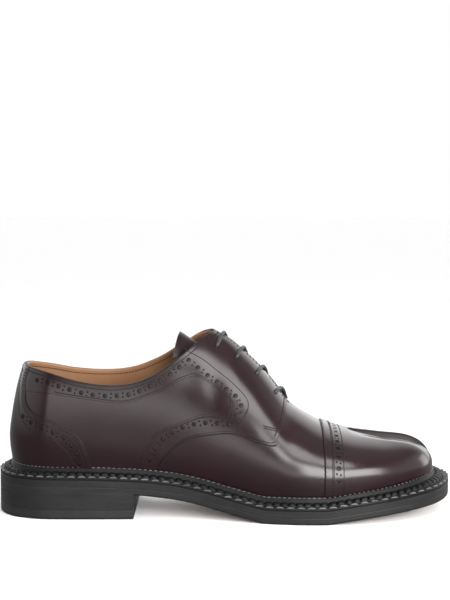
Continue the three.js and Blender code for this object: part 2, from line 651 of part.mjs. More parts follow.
// Lace: bars over the facings, joined by hidden legs under them. It bends round the rims of the eyelets.
const LACE_OVER = GAP + OVERLAY + LACE_REST + LACE_RADIUS;
const LACE_UNDER = -UPPER_WALL - LACE_REST - LACE_RADIUS;
const bend = LACE_REST + LACE_RADIUS;
const overSkin = (x, out, by) => {
  const side = Math.sign(out) || 1;
  const away = Math.abs(out);
  if (away < 1) return new THREE.Vector3(x, crestAt(x), INSTEP_HEIGHT * section.top(x / LENGTH) + by);
  return skinAt(x, side, away).addScaledVector(outAt(x, side, away), by);
};
// Between two eyelets, given as place along and out: over the leather or under it.
function laceRun(from, to, by, shares) {
  const ends = [from, to].map((e) => ({ foot: overSkin(e.x, e.out, 0), off: overSkin(e.x, e.out, by) }));
  const direction = ends[1].off.clone().sub(ends[0].off).normalize();
  const corner = (e, sign) => {
    const up = e.off.clone().sub(e.foot).normalize();
    const flat = direction.clone().projectOnPlane(up).normalize().multiplyScalar(sign * bend);
    const low = e.off.clone().addScaledVector(up, -bend);
    const middle = low.clone().addScaledVector(up, bend * Math.SQRT1_2).addScaledVector(flat, 1 - Math.SQRT1_2);
    return [low, middle, e.off.clone().add(flat)];
  };
  const run = shares.map((t) => overSkin(from.x + (to.x - from.x) * t, from.out + (to.out - from.out) * t, by));
  return [...corner(ends[0], 1), ...run, ...corner(ends[1], -1).reverse()];
}
const lacePath = [];
const pairs = EYELETS.map((row, k) => {
  const outer = { x: row.along * LENGTH, out: -EYELET_OUT };
  const inner = { x: row.along * LENGTH + EYELET_FORWARD, out: EYELET_OUT };
  return k % 2 === 0 ? [outer, inner] : [inner, outer];
});
pairs.forEach(([from, to], k) => {
  lacePath.push(...laceRun(from, to, LACE_OVER, [0.25, 0.38, 0.5, 0.62, 0.75]));
  if (k + 1 < pairs.length) lacePath.push(...laceRun(to, pairs[k + 1][0], LACE_UNDER, [0.5]));
});
function cord(points, radius, steps) {
  const path = new THREE.CatmullRomCurve3(points, false, 'centripetal');
  const round = new THREE.Shape();
  round.absarc(0, 0, radius, 0, 2 * Math.PI);
  return solidFrom(new THREE.ExtrudeGeometry(round, { steps, curveSegments: 3, extrudePath: path, bevelEnabled: false }));
}
add('lace', COLOUR.lace, 0.6, cord(lacePath, LACE_RADIUS, 76));

// The origin is under the middle of the shoe, on the floor.
const span = new THREE.Box2().setFromPoints(EDGE);
const centre = span.getCenter(new THREE.Vector2());
root.children.forEach((node) => node.geometry.translate(-centre.x, -centre.y, 0));

export default root;
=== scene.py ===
import math

import bpy
import numpy as np
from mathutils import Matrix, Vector
from mathutils.geometry import delaunay_2d_cdt


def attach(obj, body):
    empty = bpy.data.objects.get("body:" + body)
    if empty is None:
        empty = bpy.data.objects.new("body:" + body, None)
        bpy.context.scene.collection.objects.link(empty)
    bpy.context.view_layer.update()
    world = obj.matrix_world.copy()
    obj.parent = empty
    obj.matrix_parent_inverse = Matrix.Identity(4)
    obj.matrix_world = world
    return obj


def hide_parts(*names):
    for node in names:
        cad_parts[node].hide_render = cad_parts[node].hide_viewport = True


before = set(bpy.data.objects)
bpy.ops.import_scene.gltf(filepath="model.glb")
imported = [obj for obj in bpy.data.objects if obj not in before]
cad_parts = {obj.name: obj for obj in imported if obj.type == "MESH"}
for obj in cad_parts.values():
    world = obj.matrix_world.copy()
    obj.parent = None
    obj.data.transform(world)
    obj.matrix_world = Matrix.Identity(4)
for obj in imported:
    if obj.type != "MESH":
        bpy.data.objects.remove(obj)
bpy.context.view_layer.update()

# Sizes in millimetres. x runs from the heel to the toe, -y is the outer side of this right shoe, z is up.
LENGTH = 305.0
HALF_BALL = 53.0
INSTEP_HEIGHT = 120.0
HEEL_HEIGHT = 16.0
TOE_SPRING = 10.0
COLLAR_HALF = 33.0
TOP_LIFT = 6.4
HEEL_BREAST = 92.5
OUTSOLE = 4.4
MIDSOLE = 4.3
GAP = 0.3
WELT_MARGIN = 6.0
WELT_LIP = 8.0
SIDE_RISE = 20.0
TUCK = 4.0
RIDGE_BACK = 44.0
RIDGE_FRONT = 250.0
THROAT_HALF = 2.3
CAP_EDGE = 218.7
EYELET_OUT = 17.5
EYELET_FORWARD = 8.0

# Layers over the vamp, and under it.
OVERLAY = 1.25
WINDOW = 0.95
COUNTER = 1.7
LINING = -1.5
INSIDE = -1.75

# Plan of the outsole: share of the length, outer and inner shares of half the ball width.
OUTLINE = np.array([
    (0, 0, 0), (0.0138, 0.33, 0.33), (0.0508, 0.566, 0.566), (0.1213, 0.691, 0.687),
    (0.2164, 0.698, 0.683), (0.3115, 0.691, 0.626), (0.4066, 0.721, 0.6), (0.4984, 0.823, 0.683),
    (0.5902, 0.936, 0.845), (0.6787, 1, 0.966), (0.7639, 0.985, 1.008), (0.8426, 0.894, 0.97),
    (0.9082, 0.745, 0.858), (0.9574, 0.538, 0.689), (0.9889, 0.245, 0.443), (1, -0.113, 0.113),
])
# Underside of the outsole: share of the length, shares of the heel height and of the toe spring.
UNDERSIDE = np.array([
    (0, 1.06, 0), (0.0984, 1.08, 0), (0.1967, 1.07, 0), (0.3016, 1, 0), (0.3803, 0.865, 0),
    (0.4459, 0.64, 0), (0.4984, 0.39, 0), (0.5443, 0.175, 0), (0.5902, 0, 0), (0.7115, 0, 0),
    (0.7607, 0, 0.2), (0.8197, 0, 0.42), (0.8852, 0, 0.63), (0.9508, 0, 0.85), (1, 0, 1),
])
# Cross sections of the upper: share of the length, welt margin, rise of the widest line, lean of the side,
# roundness of the side, sideways place of the crest, height of the crest.
SECTIONS = np.array([
    (0, 1.36, 1.3, 0.325, 5, 0, 0.925), (0.0492, 1.2, 1.3, 0.27, 5, 0, 0.925),
    (0.1311, 0.933, 1.2, 0.15, 5, 0, 0.933), (0.2164, 0.9, 1.1, 0.13, 4.2, 0, 0.96),
    (0.3115, 0.9, 1.05, 0.12, 3.2, 0.01, 1.01), (0.3934, 0.933, 1, 0.1, 2.5, 0.02, 1.052),
    (0.4492, 0.967, 1, 0.08, 2.15, 0.028, 1.036), (0.482, 0.983, 0.95, 0.06, 2, 0.038, 0.997),
    (0.5115, 1, 0.95, 0.04, 2, 0.038, 0.952), (0.541, 1, 0.9, 0.02, 2, 0.047, 0.886),
    (0.577, 1, 0.9, 0, 2, 0.057, 0.797), (0.6098, 1, 0.9, 0, 2, 0.06, 0.7),
    (0.6393, 1, 0.85, 0, 2, 0.066, 0.606), (0.6689, 1.033, 0.85, 0, 2.05, 0.075, 0.551),
    (0.718, 1.1, 0.8, 0, 2.2, 0.085, 0.48), (0.7607, 1.167, 0.75, 0, 2.35, 0.094, 0.438),
    (0.8066, 1.3, 0.7, 0, 2.45, 0.106, 0.4165), (0.859, 1.5, 0.65, 0, 2.35, 0.113, 0.4075),
    (0.9344, 1.767, 0.6, 0, 2.3, 0.113, 0.422), (1, 1.9, 0.55, 0, 2.3, 0.113, 0.421),
])
# Lines seen from the side: share of the length, share of the instep height. The topline's third column is
# how much higher its inner side lies.
TOPLINE = np.array([
    (-0.07, 0.8374, -0.016), (0.0574, 0.8324, -0.014), (0.0767, 0.8194, -0.0167), (0.1082, 0.8024, -0.018),
    (0.1367, 0.7824, -0.013), (0.1652, 0.7574, 0.0017), (0.2259, 0.7284, 0.024), (0.2613, 0.7214, 0.037),
    (0.2951, 0.7284, 0.048), (0.3433, 0.7684, 0.06), (0.3649, 0.7964, 0.06), (0.3895, 0.8444, 0.0575),
    (0.4213, 0.9014, 0.054), (0.4551, 0.9654, 0.044), (0.4689, 0.9804, 0.036), (0.5, 0.9874, 0.03),
])
QUARTER_FRONT = np.array([(0.6334, 0.622), (0.6308, 0.585), (0.621, 0.504), (0.6089, 0.437)])
SWAN_NECK = np.array([
    (0.6089, 0.437), (0.5967, 0.431), (0.5528, 0.463), (0.5203, 0.487), (0.4833, 0.486), (0.4466, 0.471),
    (0.4203, 0.455), (0.3987, 0.424), (0.3816, 0.385), (0.3646, 0.336), (0.3525, 0.292), (0.348, 0.2),
])
QUARTER_INNER = np.array([
    (0.317, 0.2), (0.3187, 0.308), (0.3236, 0.368), (0.3357, 0.413), (0.3525, 0.469), (0.3767, 0.501),
    (0.4013, 0.526), (0.4348, 0.56), (0.4702, 0.576), (0.502, 0.57), (0.5138, 0.632), (0.5115, 0.657),
    (0.4931, 0.701), (0.4639, 0.748), (0.4354, 0.785), (0.407, 0.765), (0.3626, 0.701), (0.3311, 0.672),
    (0.2852, 0.639), (0.2187, 0.653), (0.1325, 0.688),
])
COUNTER_EDGE = np.array([
    (0.08, 0.9), (0.079, 0.825), (0.0698, 0.767), (0.0672, 0.696), (0.0689, 0.627), (0.0797, 0.589),
    (0.1095, 0.551), (0.138, 0.522), (0.1675, 0.481), (0.1869, 0.441), (0.1993, 0.38), (0.2089, 0.3),
    (0.21, 0.2),
])
# Plan of the opening between the facings, past its straight part: share of the length, share of the
# eyelets' distance.
FACING_FLARE = np.array([(0.59, 0.15), (0.613, 0.22), (0.624, 0.45), (0.633, 0.8)])
EYELETS = (0.4807, 0.523, 0.5669, 0.6072)
# Middles of the large punched holes, seen from the side.
BAND_HOLES = np.array([
    (0.4209, 0.8638), (0.441, 0.8234), (0.4619, 0.7827), (0.4821, 0.7479), (0.5028, 0.7095), (0.5222, 0.6739),
    (0.5345, 0.6237), (0.525, 0.573), (0.5078, 0.5256), (0.4835, 0.5304), (0.4583, 0.5315), (0.4335, 0.5229),
    (0.4088, 0.5044), (0.3857, 0.4777), (0.3658, 0.4385), (0.3482, 0.3849), (0.3364, 0.3254),
])
COLLAR_HOLES = np.array([
    (0.0953, 0.7539), (0.1182, 0.7455), (0.1414, 0.727), (0.1653, 0.7095), (0.1902, 0.6924), (0.2154, 0.6805),
    (0.2412, 0.6755), (0.2668, 0.6763), (0.2917, 0.6825), (0.3154, 0.7015), (0.3378, 0.7275),
    (0.3598, 0.7555), (0.3811, 0.7886), (0.4012, 0.8253),
])
COUNTER_HOLES = np.array([
    (0.0647, 0.5522), (0.0824, 0.524), (0.1048, 0.4998), (0.1288, 0.4759), (0.1516, 0.4462), (0.1685, 0.4029),
    (0.179, 0.354), (0.1845, 0.302),
])
BAND_OUTER = np.array([
    (0.4105, 0.925), (0.4213, 0.9063), (0.5447, 0.6671), (0.5502, 0.6365), (0.5493, 0.6039), (0.5264, 0.4858),
])
BAR_TACK = np.array([(0.5841, 0.5058), (0.6139, 0.4834)])

FINE = 4001


def unit(vectors):
    """Vectors, each made one long."""
    return vectors / np.maximum(np.linalg.norm(vectors, axis=-1, keepdims=True), 1e-9)


def run_of(points):
    """Distance of each point of a line from the line's start."""
    return np.concatenate([[0], np.cumsum(np.linalg.norm(np.diff(points, axis=0), axis=1))])


def placed(at, run, points):
    """Points of a line at these distances from its start."""
    return np.stack([np.interp(at, run, points[:, k]) for k in range(points.shape[1])], -1)


def blurred(values, width, loop=False):
    """Values along a line, softened over this many samples. An open line keeps its ends."""
    reach = int(4 * width) + 1
    kernel = np.exp(-0.5 * (np.arange(-reach, reach + 1) / width) ** 2)
    if loop:
        padded = np.concatenate([values[-reach:], values, values[:reach]])
    else:
        head = 2 * values[0] - values[reach:0:-1]
        tail = 2 * values[-1] - values[-2:-reach - 2:-1]
        padded = np.concatenate([head, values, tail])
    return np.convolve(padded, kernel / kernel.sum(), mode="valid")


def curve_of(at, value, soft=0.008):
    """Smooth curve through the rows of a table, without overshoot between them."""
    slope = np.diff(value) / np.diff(at)
    before, after = np.diff(at)[:-1], np.diff(at)[1:]
    left, right = slope[:-1], slope[1:]
    bends = left * right > 0
    near, far = 2 * after + before, after + 2 * before
    safe_left, safe_right = np.where(bends, left, 1), np.where(bends, right, 1)
    inner = np.where(bends, (near + far) / (near / safe_left + far / safe_right), 0)
    tangent = np.concatenate([slope[:1], inner, slope[-1:]])
    x = np.linspace(at[0], at[-1], FINE)
    i = np.clip(np.searchsorted(at, x, side="right") - 1, 0, len(at) - 2)
    step = at[i + 1] - at[i]
    t = (x - at[i]) / step
    y = (1 + 2 * t) * (1 - t) ** 2 * value[i] + t * t * (3 - 2 * t) * value[i + 1]
    y = y + step * (t * (1 - t) ** 2 * tangent[i] - t * t * (1 - t) * tangent[i + 1])
    if soft > 0:
        y = blurred(y, soft * FINE / (at[-1] - at[0]))
    return lambda q: np.interp(q, x, y)


def turn_of(along):
    """The round ends of the outline are smooth when its rows are spaced by this turn."""
    return np.arccos(1 - 2 * along) / np.pi


def outline_loop():
    """Sideways place of the edge, once round the sole from the heel along the outer side."""
    turn = np.linspace(0, 1, FINE)
    outer = curve_of(turn_of(OUTLINE[:, 0]), OUTLINE[:, 1], 0)(turn)
    inner = curve_of(turn_of(OUTLINE[:, 0]), OUTLINE[:, 2], 0)(turn)
    return blurred(np.concatenate([-outer, inner[-2:0:-1]]) * HALF_BALL, 40, loop=True)


EDGE_Y = outline_loop()
EDGE_SLOPE = np.gradient(np.concatenate([EDGE_Y[-1:], EDGE_Y, EDGE_Y[:1]]))[1:-1] * len(EDGE_Y) / 2
MIDDLE_Y = (EDGE_Y.max() + EDGE_Y.min()) / 2


def edge_at(s):
    """Points of the sole's edge and their inward directions. s is 0 at the heel, 1 at the toe and then 2."""
    place = np.asarray(s) % 2 * len(EDGE_Y) / 2
    around = np.arange(len(EDGE_Y) + 1)
    y = np.interp(place, around, np.append(EDGE_Y, EDGE_Y[0]))
    slope = np.interp(place, around, np.append(EDGE_SLOPE, EDGE_SLOPE[0]))
    x = LENGTH * (1 - np.cos(np.pi * s)) / 2
    run = np.stack([LENGTH * np.pi / 2 * np.sin(np.pi * s), slope], -1)
    run = unit(run)
    return np.stack([x, y], -1), np.stack([-run[..., 1], run[..., 0]], -1)


heel_share = curve_of(UNDERSIDE[:, 0], UNDERSIDE[:, 1])
toe_share = curve_of(UNDERSIDE[:, 0], UNDERSIDE[:, 2])
section = {
    name: curve_of(SECTIONS[:, 0], SECTIONS[:, k + 1])
    for k, name in enumerate(["margin", "rise", "lean", "power", "crest", "top"])
}
cut_height = curve_of(TOPLINE[:, 0], TOPLINE[:, 1], 0.004)
cut_tilt = curve_of(TOPLINE[:, 0], TOPLINE[:, 2], 0.004)


def collar_height(x, y):
    """Height of the collar's edge over the floor."""
    inner = (y + COLLAR_HALF) / (2 * COLLAR_HALF)
    return INSTEP_HEIGHT * (cut_height(x / LENGTH) + cut_tilt(x / LENGTH) * inner)


def underside(x):
    return HEEL_HEIGHT * heel_share(x / LENGTH) + TOE_SPRING * toe_share(x / LENGTH)


def midsole_top(x):
    return underside(x) + OUTSOLE + GAP + MIDSOLE


def featherline(x):
    return midsole_top(x) + GAP


def crest_y(x):
    return HALF_BALL * section["crest"](x / LENGTH)


# The upper is unrolled into a flat pattern in millimetres. Along the crest line a pattern point has its own
# x, and its distance from the crest is measured over the surface. Past both ends of the crest line the
# pattern is a fan.
STATIONS = 241
REACH = 150
STEP = 1.0


def side_table(side):
    """Surface points by station and distance from the crest, with what places the stations in the pattern."""
    turn = np.linspace(0, 1, 2001)
    edge, inward = edge_at(turn if side < 0 else 2 - turn)
    wide = edge + inward * (WELT_MARGIN * section["margin"](edge[:, :1] / LENGTH))
    x = np.maximum.accumulate(wide[:, 0])
    share = turn_of(np.clip((x - x[0]) / (x[-1] - x[0]), 0, 1))
    q = np.linspace(0, 1, STATIONS)
    turn = np.interp(q, share, turn)
    edge, inward = edge_at(turn if side < 0 else 2 - turn)
    wide = edge + inward * (WELT_MARGIN * section["margin"](edge[:, :1] / LENGTH))
    crest_x = np.clip(wide[:, 0], RIDGE_BACK, RIDGE_FRONT)
    crest = np.stack([crest_x, crest_y(crest_x)], -1)
    points = profile_points(wide, crest)
    step = np.linalg.norm(np.diff(points, axis=1), axis=2)
    run = np.concatenate([np.zeros((STATIONS, 1)), np.cumsum(step, axis=1)], axis=1)
    beyond = points[:, -1] + (points[:, -1] - points[:, -2]) / step[:, -1:] * REACH
    points = np.concatenate([points, beyond[:, None]], axis=1)
    length = run[:, -1].copy()
    run = np.concatenate([run, run[:, -1:] + REACH], axis=1)
    out = np.arange(REACH + 1.0)
    table = np.stack([
        np.stack([np.interp(out, run[i], points[i, :, k]) for k in range(3)], -1) for i in range(STATIONS)
    ])
    return {"table": table, "wide": wide, "crest": crest, "length": length, "q": q}


def profile_points(wide, crest):
    """The upper's cross sections, from the crest over the widest line to the feather line."""
    upper = 1 - np.linspace(0, 1, 160) ** 2
    level = np.concatenate([upper, -np.linspace(0, 1, 20)[1:]])[None, :]
    x = wide[:, :1] / LENGTH
    low = featherline(wide[:, :1])
    middle = low + SIDE_RISE * section["rise"](x)
    rise = np.sin(np.clip(level, 0, 1) * np.pi / 2)
    power = section["power"](x)
    keep = (1 - rise ** power) ** (1 / power) * (1 - section["lean"](x) * rise ** 1.2)
    reach = wide - crest
    far = np.maximum(np.linalg.norm(reach, axis=1, keepdims=True), 1)
    keep = np.where(level < 0, 1 - TUCK * level ** 2 / far, keep)
    plan = crest[:, None] + reach[:, None] * keep[..., None]
    top = INSTEP_HEIGHT * section["top"](plan[..., 0] / LENGTH)
    z = np.where(level < 0, middle + (middle - low) * level, middle + (top - middle) * rise)
    return np.concatenate([plan, z[..., None]], -1)


SIDES = {side: side_table(side) for side in (-1, 1)}


def rays(x, y):
    """Side, station and distance from the crest of pattern points."""
    crest_x = np.clip(x, RIDGE_BACK, RIDGE_FRONT)
    dy = y - crest_y(crest_x)
    out = np.hypot(x - crest_x, dy)
    station = np.zeros_like(x)
    for side, data in SIDES.items():
        here = (dy < 0) == (side < 0)
        wide, crest, q = data["wide"], data["crest"], data["q"]
        first, last = wide[0, 0], wide[-1, 0]
        middle = turn_of(np.clip((x - first) / (last - first), 0, 1))
        angle = np.arctan2(np.abs(wide[:, 1] - crest[:, 1]), np.abs(wide[:, 0] - crest[:, 0]))
        mine = np.arctan2(np.abs(dy), np.abs(x - crest_x))
        back, front = wide[:, 0] < RIDGE_BACK, wide[:, 0] > RIDGE_FRONT
        q_back = np.interp(mine, angle[back], q[back])
        q_front = np.interp(-mine, -angle[front], q[front])
        found = np.where(x < RIDGE_BACK, q_back, np.where(x > RIDGE_FRONT, q_front, middle))
        station = np.where(here, found, station)
    return np.where(dy < 0, -1, 1), station, out


def bilinear(grid, a, b):
    """Value of a grid at fractional rows and columns."""
    a = np.clip(a, 0, grid.shape[0] - 1.001)
    b = np.clip(b, 0, grid.shape[1] - 1.001)
    i, j = a.astype(int), b.astype(int)
    s, t = (a - i)[..., None], (b - j)[..., None]
    near = grid[i, j] * (1 - t) + grid[i, j + 1] * t
    return near * (1 - s) + (grid[i + 1, j] * (1 - t) + grid[i + 1, j + 1] * t) * s


X_FROM, X_TO = -90.0, 370.0
Y_FROM, Y_TO = -150.0, 150.0


def soft_grid(grid, width):
    """A grid of points, softened both ways."""
    rows = np.apply_along_axis(blurred, 0, grid, width)
    return np.apply_along_axis(blurred, 1, rows, width)


def smooth_step(t):
    t = np.clip(t, 0, 1)
    return t * t * (3 - 2 * t)


def bake():
    """The surface on a square grid of the pattern: places, slopes both ways and outward directions."""
    columns = np.arange(X_FROM, X_TO + STEP, STEP)
    rows = np.arange(Y_FROM, Y_TO + STEP, STEP)
    x, y = np.meshgrid(columns, rows, indexing="ij")
    side, station, out = rays(x, y)
    places = np.zeros(x.shape + (3,))
    for s, data in SIDES.items():
        found = bilinear(data["table"], station * (STATIONS - 1), out)
        places = np.where((side == s)[..., None], found, places)
    places = soft_grid(places, 1.6)
    return with_slopes(places)


def with_slopes(places):
    along, across = np.gradient(places, STEP, axis=(0, 1))
    out = unit(np.cross(along, across))
    return np.concatenate([places, along, across, out], -1)


BAKED = bake()


def sheet_at(xy):
    """Place, slope along, slope across and outward direction of the upper at pattern points."""
    xy = np.atleast_2d(xy)
    found = bilinear(BAKED, (xy[:, 0] - X_FROM) / STEP, (xy[:, 1] - Y_FROM) / STEP)
    return found[:, :3], found[:, 3:6], found[:, 6:9], unit(found[:, 9:])


def on_side(points, side):
    """Pattern places of points of the upper seen from the side, given as x and z."""
    points = np.atleast_2d(points)
    x, y = np.meshgrid(np.arange(-20, 330, 3.0), np.arange(-120, 121, 3.0), indexing="ij")
    _, _, reach = rays(x.ravel(), y.ravel())
    nodes = np.stack([x.ravel(), y.ravel()], -1)
    nodes = nodes[((nodes[:, 1] - crest_y(nodes[:, 0])) * side > 0) & (reach < 118)]
    spots = sheet_at(nodes)[0][:, [0, 2]]
    start = np.argmin(((points[:, None] - spots[None]) ** 2).sum(-1), axis=1)
    return newton(nodes[start], points, (0, 2))


def on_plan(points):
    """Pattern places of points of the upper seen from above, given as x and y."""
    points = np.atleast_2d(points)
    return newton(points.astype(float), points, (0, 1))


def newton(guess, target, axes):
    for _ in range(12):
        place, along, across, _ = sheet_at(guess)
        miss = target - place[:, axes]
        a, b = along[:, axes], across[:, axes]
        det = a[:, 0] * b[:, 1] - a[:, 1] * b[:, 0]
        det = np.where(np.abs(det) < 0.05, np.where(det < 0, -0.05, 0.05), det)
        du = (miss[:, 0] * b[:, 1] - miss[:, 1] * b[:, 0]) / det
        dv = (a[:, 0] * miss[:, 1] - a[:, 1] * miss[:, 0]) / det
        guess = guess + np.clip(np.stack([du, dv], -1), -4, 4)
    return guess


# Pattern lines.
def pattern_at(side, station, out):
    """Pattern points at a distance from the crest, at stations from 0 at the heel to 1 at the toe."""
    data = SIDES[side]
    crest = np.stack([np.interp(station, data["q"], data["crest"][:, k]) for k in (0, 1)], -1)
    wide = np.stack([np.interp(station, data["q"], data["wide"][:, k]) for k in (0, 1)], -1)
    return crest + unit(wide - crest) * np.asarray(out)[..., None]


def station_at(side, x):
    return np.interp(x, SIDES[side]["wide"][:, 0], SIDES[side]["q"])


def feather_line(side, start, end, above=1.0):
    """Pattern points just above the feather line between two places along the shoe."""
    station = np.linspace(station_at(side, start), station_at(side, end), 160)
    length = np.interp(station, SIDES[side]["q"], SIDES[side]["length"])
    return pattern_at(side, station, length - above)


def held_above(points, above=1.0):
    """Pattern points, drawn up to the feather line where they lie past it."""
    side, station, out = rays(points[:, 0], points[:, 1])
    kept = points.copy()
    for s, data in SIDES.items():
        limit = np.interp(station, data["q"], data["length"]) - above
        past = (side == s) & (out > limit)
        kept[past] = pattern_at(s, station[past], limit[past])
    return kept


def drawn(points, spacing=0.8, soft=1.2):
    """An open line through points, evenly spaced and softened, with its ends kept."""
    points = np.asarray(points, float)
    run = run_of(points)
    fine = np.linspace(0, run[-1], max(int(run[-1] / 0.2), 8))
    line = placed(fine, run, points)
    width = min(soft / 0.2, len(fine) / 10)
    line = np.stack([blurred(line[:, k], width) for k in (0, 1)], -1) if soft > 0 else line
    return respaced(line, spacing)


def curved(points):
    """A smooth line through points that lie far apart."""
    run = run_of(points)
    fine = np.linspace(0, run[-1], 200)
    return np.stack([curve_of(run, points[:, k])(fine) for k in (0, 1)], -1)


def respaced(line, spacing):
    run = run_of(line)
    count = max(int(round(run[-1] / spacing)), 2)
    even = np.linspace(0, run[-1], count + 1)
    return placed(even, run, line)


def beside(line, away):
    """A line moved sideways in the pattern, to its left."""
    run = unit(np.gradient(line, axis=0))
    return line + np.stack([-run[:, 1], run[:, 0]], -1) * away


def side_line(table, side):
    """Pattern line of a table of shares seen from the side."""
    return on_side(table * [LENGTH, INSTEP_HEIGHT], side)


def topline(side):
    """Pattern line of the collar on one side, from the back seam to the front."""
    table = SIDES[side]["table"]
    above = table[..., 2] - collar_height(table[..., 0], table[..., 1])
    last = np.argmax(above[:, 0] < 0)
    first = np.argmax(above[:last] < 0, axis=1)
    rows = np.arange(last)
    before, after = above[rows, first - 1], above[rows, first]
    out = first - 1 + before / (before - after)
    out = blurred(out, 2)
    rows = rows[out[rows] > THROAT_HALF + 2.5]
    return pattern_at(side, SIDES[side]["q"][rows], out[rows])


def facing(side):
    """Pattern line of the facing's edge along the throat, from its top corner to the open front."""
    straight = np.arange(COLLAR_FRONT, FACING_FLARE[0, 0] * LENGTH, 4.0)
    edge = np.stack([straight, crest_y(straight) + side * THROAT_HALF], -1)
    x = FACING_FLARE[:, 0] * LENGTH
    flare = on_plan(np.stack([x, crest_y(x) + side * FACING_FLARE[:, 1] * EYELET_OUT], -1))
    return np.concatenate([edge, flare])


COLLAR_FRONT = 144.5
COLLAR = {side: topline(side) for side in (-1, 1)}
SLIT = {side: drawn(np.concatenate([COLLAR[side], facing(side)[:-3]]), 0.8, 0.9) for side in (-1, 1)}
FRONT = {
    side: drawn(np.concatenate([facing(side)[-4:], side_line(QUARTER_FRONT, side)]), 0.8, 3.5)
    for side in (-1, 1)
}
OPENING = {side: np.concatenate([SLIT[side], FRONT[side][1:]]) for side in (-1, 1)}
CORNER = 14


def inner_line(side):
    """Inner line of the border: crisp round the window's front, then smooth along the collar."""
    line = side_line(QUARTER_INNER, side)
    return np.concatenate([curved(line[:9]), line[9:CORNER + 1], curved(line[CORNER:])[1:]])


SWAN = {side: held_above(drawn(curved(side_line(SWAN_NECK, side)), 0.8, 2)) for side in (-1, 1)}
INNER = {side: held_above(drawn(inner_line(side), 0.8, 0.9)) for side in (-1, 1)}
COUNTER_LINE = {side: held_above(drawn(curved(side_line(COUNTER_EDGE, side)), 0.8, 3)) for side in (-1, 1)}


BACK_BAND = 84.0


def round_back(side, start, lower=0.0):
    """Pattern line at the height of the collar's border, from a place on the side to the back seam."""
    first = rays(*start[:, None])[1][0]
    station = np.linspace(first, 0, 30)
    share = np.linspace(0, 1, 30)
    begin = sheet_at(start)[0][0, 2]
    height = begin + (BACK_BAND - lower - begin) * share
    table = bilinear(SIDES[side]["table"], np.repeat(station[:, None], REACH, 1) * (STATIONS - 1),
                     np.repeat(np.arange(REACH)[None, :], 30, 0))[..., 2]
    out = np.array([np.interp(-height[i], -table[i], np.arange(REACH)) for i in range(30)])
    return pattern_at(side, station, out)


def quarter_outline(side):
    """Outline of the collar, facing and swan neck, cut as one piece of leather."""
    low = feather_line(side, SWAN[side][-1][0], INNER[side][0][0])
    back = respaced(round_back(side, INNER[side][-1]), 0.8)
    up = drawn(np.stack([back[-1], OPENING[side][0]]), 0.8, 0)
    parts = [OPENING[side], SWAN[side][1:], low[1:], INNER[side][1:], back[1:], up[1:-1]]
    return loop_of(parts)


def window_outline(side):
    """Outline of the quarter's field, which reaches a little under its border."""
    wider = beside(INNER[side], 2.0 * side)
    low = feather_line(side, wider[0][0], 0)
    back = respaced(round_back(side, wider[-1], -2.0), 0.8)
    seam = drawn(np.stack([back[-1], low[-1]]), 1.5, 0)
    return loop_of([wider, back[1:], seam[1:], low[::-1][1:-1]])


def loop_of(parts):
    """One closed loop of points, with near doubles left out."""
    points = np.concatenate(parts)
    kept = [points[0]]
    for p in points[1:]:
        if np.hypot(*(p - kept[-1])) > 0.3:
            kept.append(p)
    if np.hypot(*(kept[-1] - kept[0])) < 0.3:
        kept.pop()
    return np.array(kept)


def counter_outline():
    cut, line, low = {}, {}, {}
    for side in (-1, 1):
        gap = ((COUNTER_LINE[side][:, None] - SLIT[side][None]) ** 2).sum(-1)
        i, j = np.unravel_index(np.argmin(gap), gap.shape)
        line[side], cut[side] = COUNTER_LINE[side][i + 1:], SLIT[side][:j]
        low[side] = feather_line(side, line[side][-1][0], 0)
    return loop_of([line[-1], low[-1], low[1][::-1], line[1][::-1], cut[1][::-1], cut[-1]])


GIMP_PITCH = 2.8
GIMP_DEEP = 0.75


def cap_outline():
    """Outline of the toe cap. Its back edge is gimped."""
    width = [np.interp(station_at(s, CAP_EDGE), SIDES[s]["q"], SIDES[s]["length"]) - 1 for s in (-1, 1)]
    middle = crest_y(CAP_EDGE)
    y = np.arange(middle - width[0], middle + width[1], GIMP_PITCH / 6)
    tooth = np.abs((y / GIMP_PITCH) % 1 - 0.5) * 2
    edge = np.stack([CAP_EDGE - GIMP_DEEP * tooth ** 0.7, y], -1)
    toe = [feather_line(side, CAP_EDGE, LENGTH) for side in (-1, 1)]
    return loop_of([edge, toe[1][1:], toe[0][::-1][:-1]])


def shell_outline():
    """Outline of the vamp and what lies under the quarters, with the opening for the foot as a hole."""
    whole = [feather_line(side, 0, LENGTH) for side in (-1, 1)]
    outer = loop_of([respaced(whole[0], 1.5), respaced(whole[1][::-1], 1.5)])
    return outer, loop_of([SLIT[-1], SLIT[1][::-1]])


# Relief of the leather, in millimetres along its outward direction.
CLEFT_ASIDE = 9.5
CLEFT_DEEP = 10.0
CLEFT_ALONG = np.array([(236, 0), (238.5, 0.45), (242, 0.65), (250, 0.8), (262, 0.95), (283, 1), (293, 0.8)])
CLEFT_NEAR = 5.5
CLEFT_FAR = 4.0
LOBE_FALL = 3.0


def cleft(place):
    """The cleft between the two lobes of the toe. The outer lobe falls towards it."""
    x, y, z = place.T
    deep = np.interp(x, *CLEFT_ALONG.T) * np.interp(z, [22, 45], [0.5, 1])
    near = np.clip(1 + (y - CLEFT_ASIDE) / CLEFT_NEAR, 0, 1) ** 1.3
    far = np.clip(1 - (y - CLEFT_ASIDE) / CLEFT_FAR, 0, 1) ** 1.5
    cut = CLEFT_DEEP * deep * np.where(y < CLEFT_ASIDE, near, far)
    fall = smooth_step((y + 14) / 16) * smooth_step((13.5 - y) / 6)
    fall = LOBE_FALL * fall * np.interp(x, [236, 262, 284, 293], [0, 1, 1, 0.2])
    return -cut - fall


def relief(xy):
    return cleft(sheet_at(xy)[0])


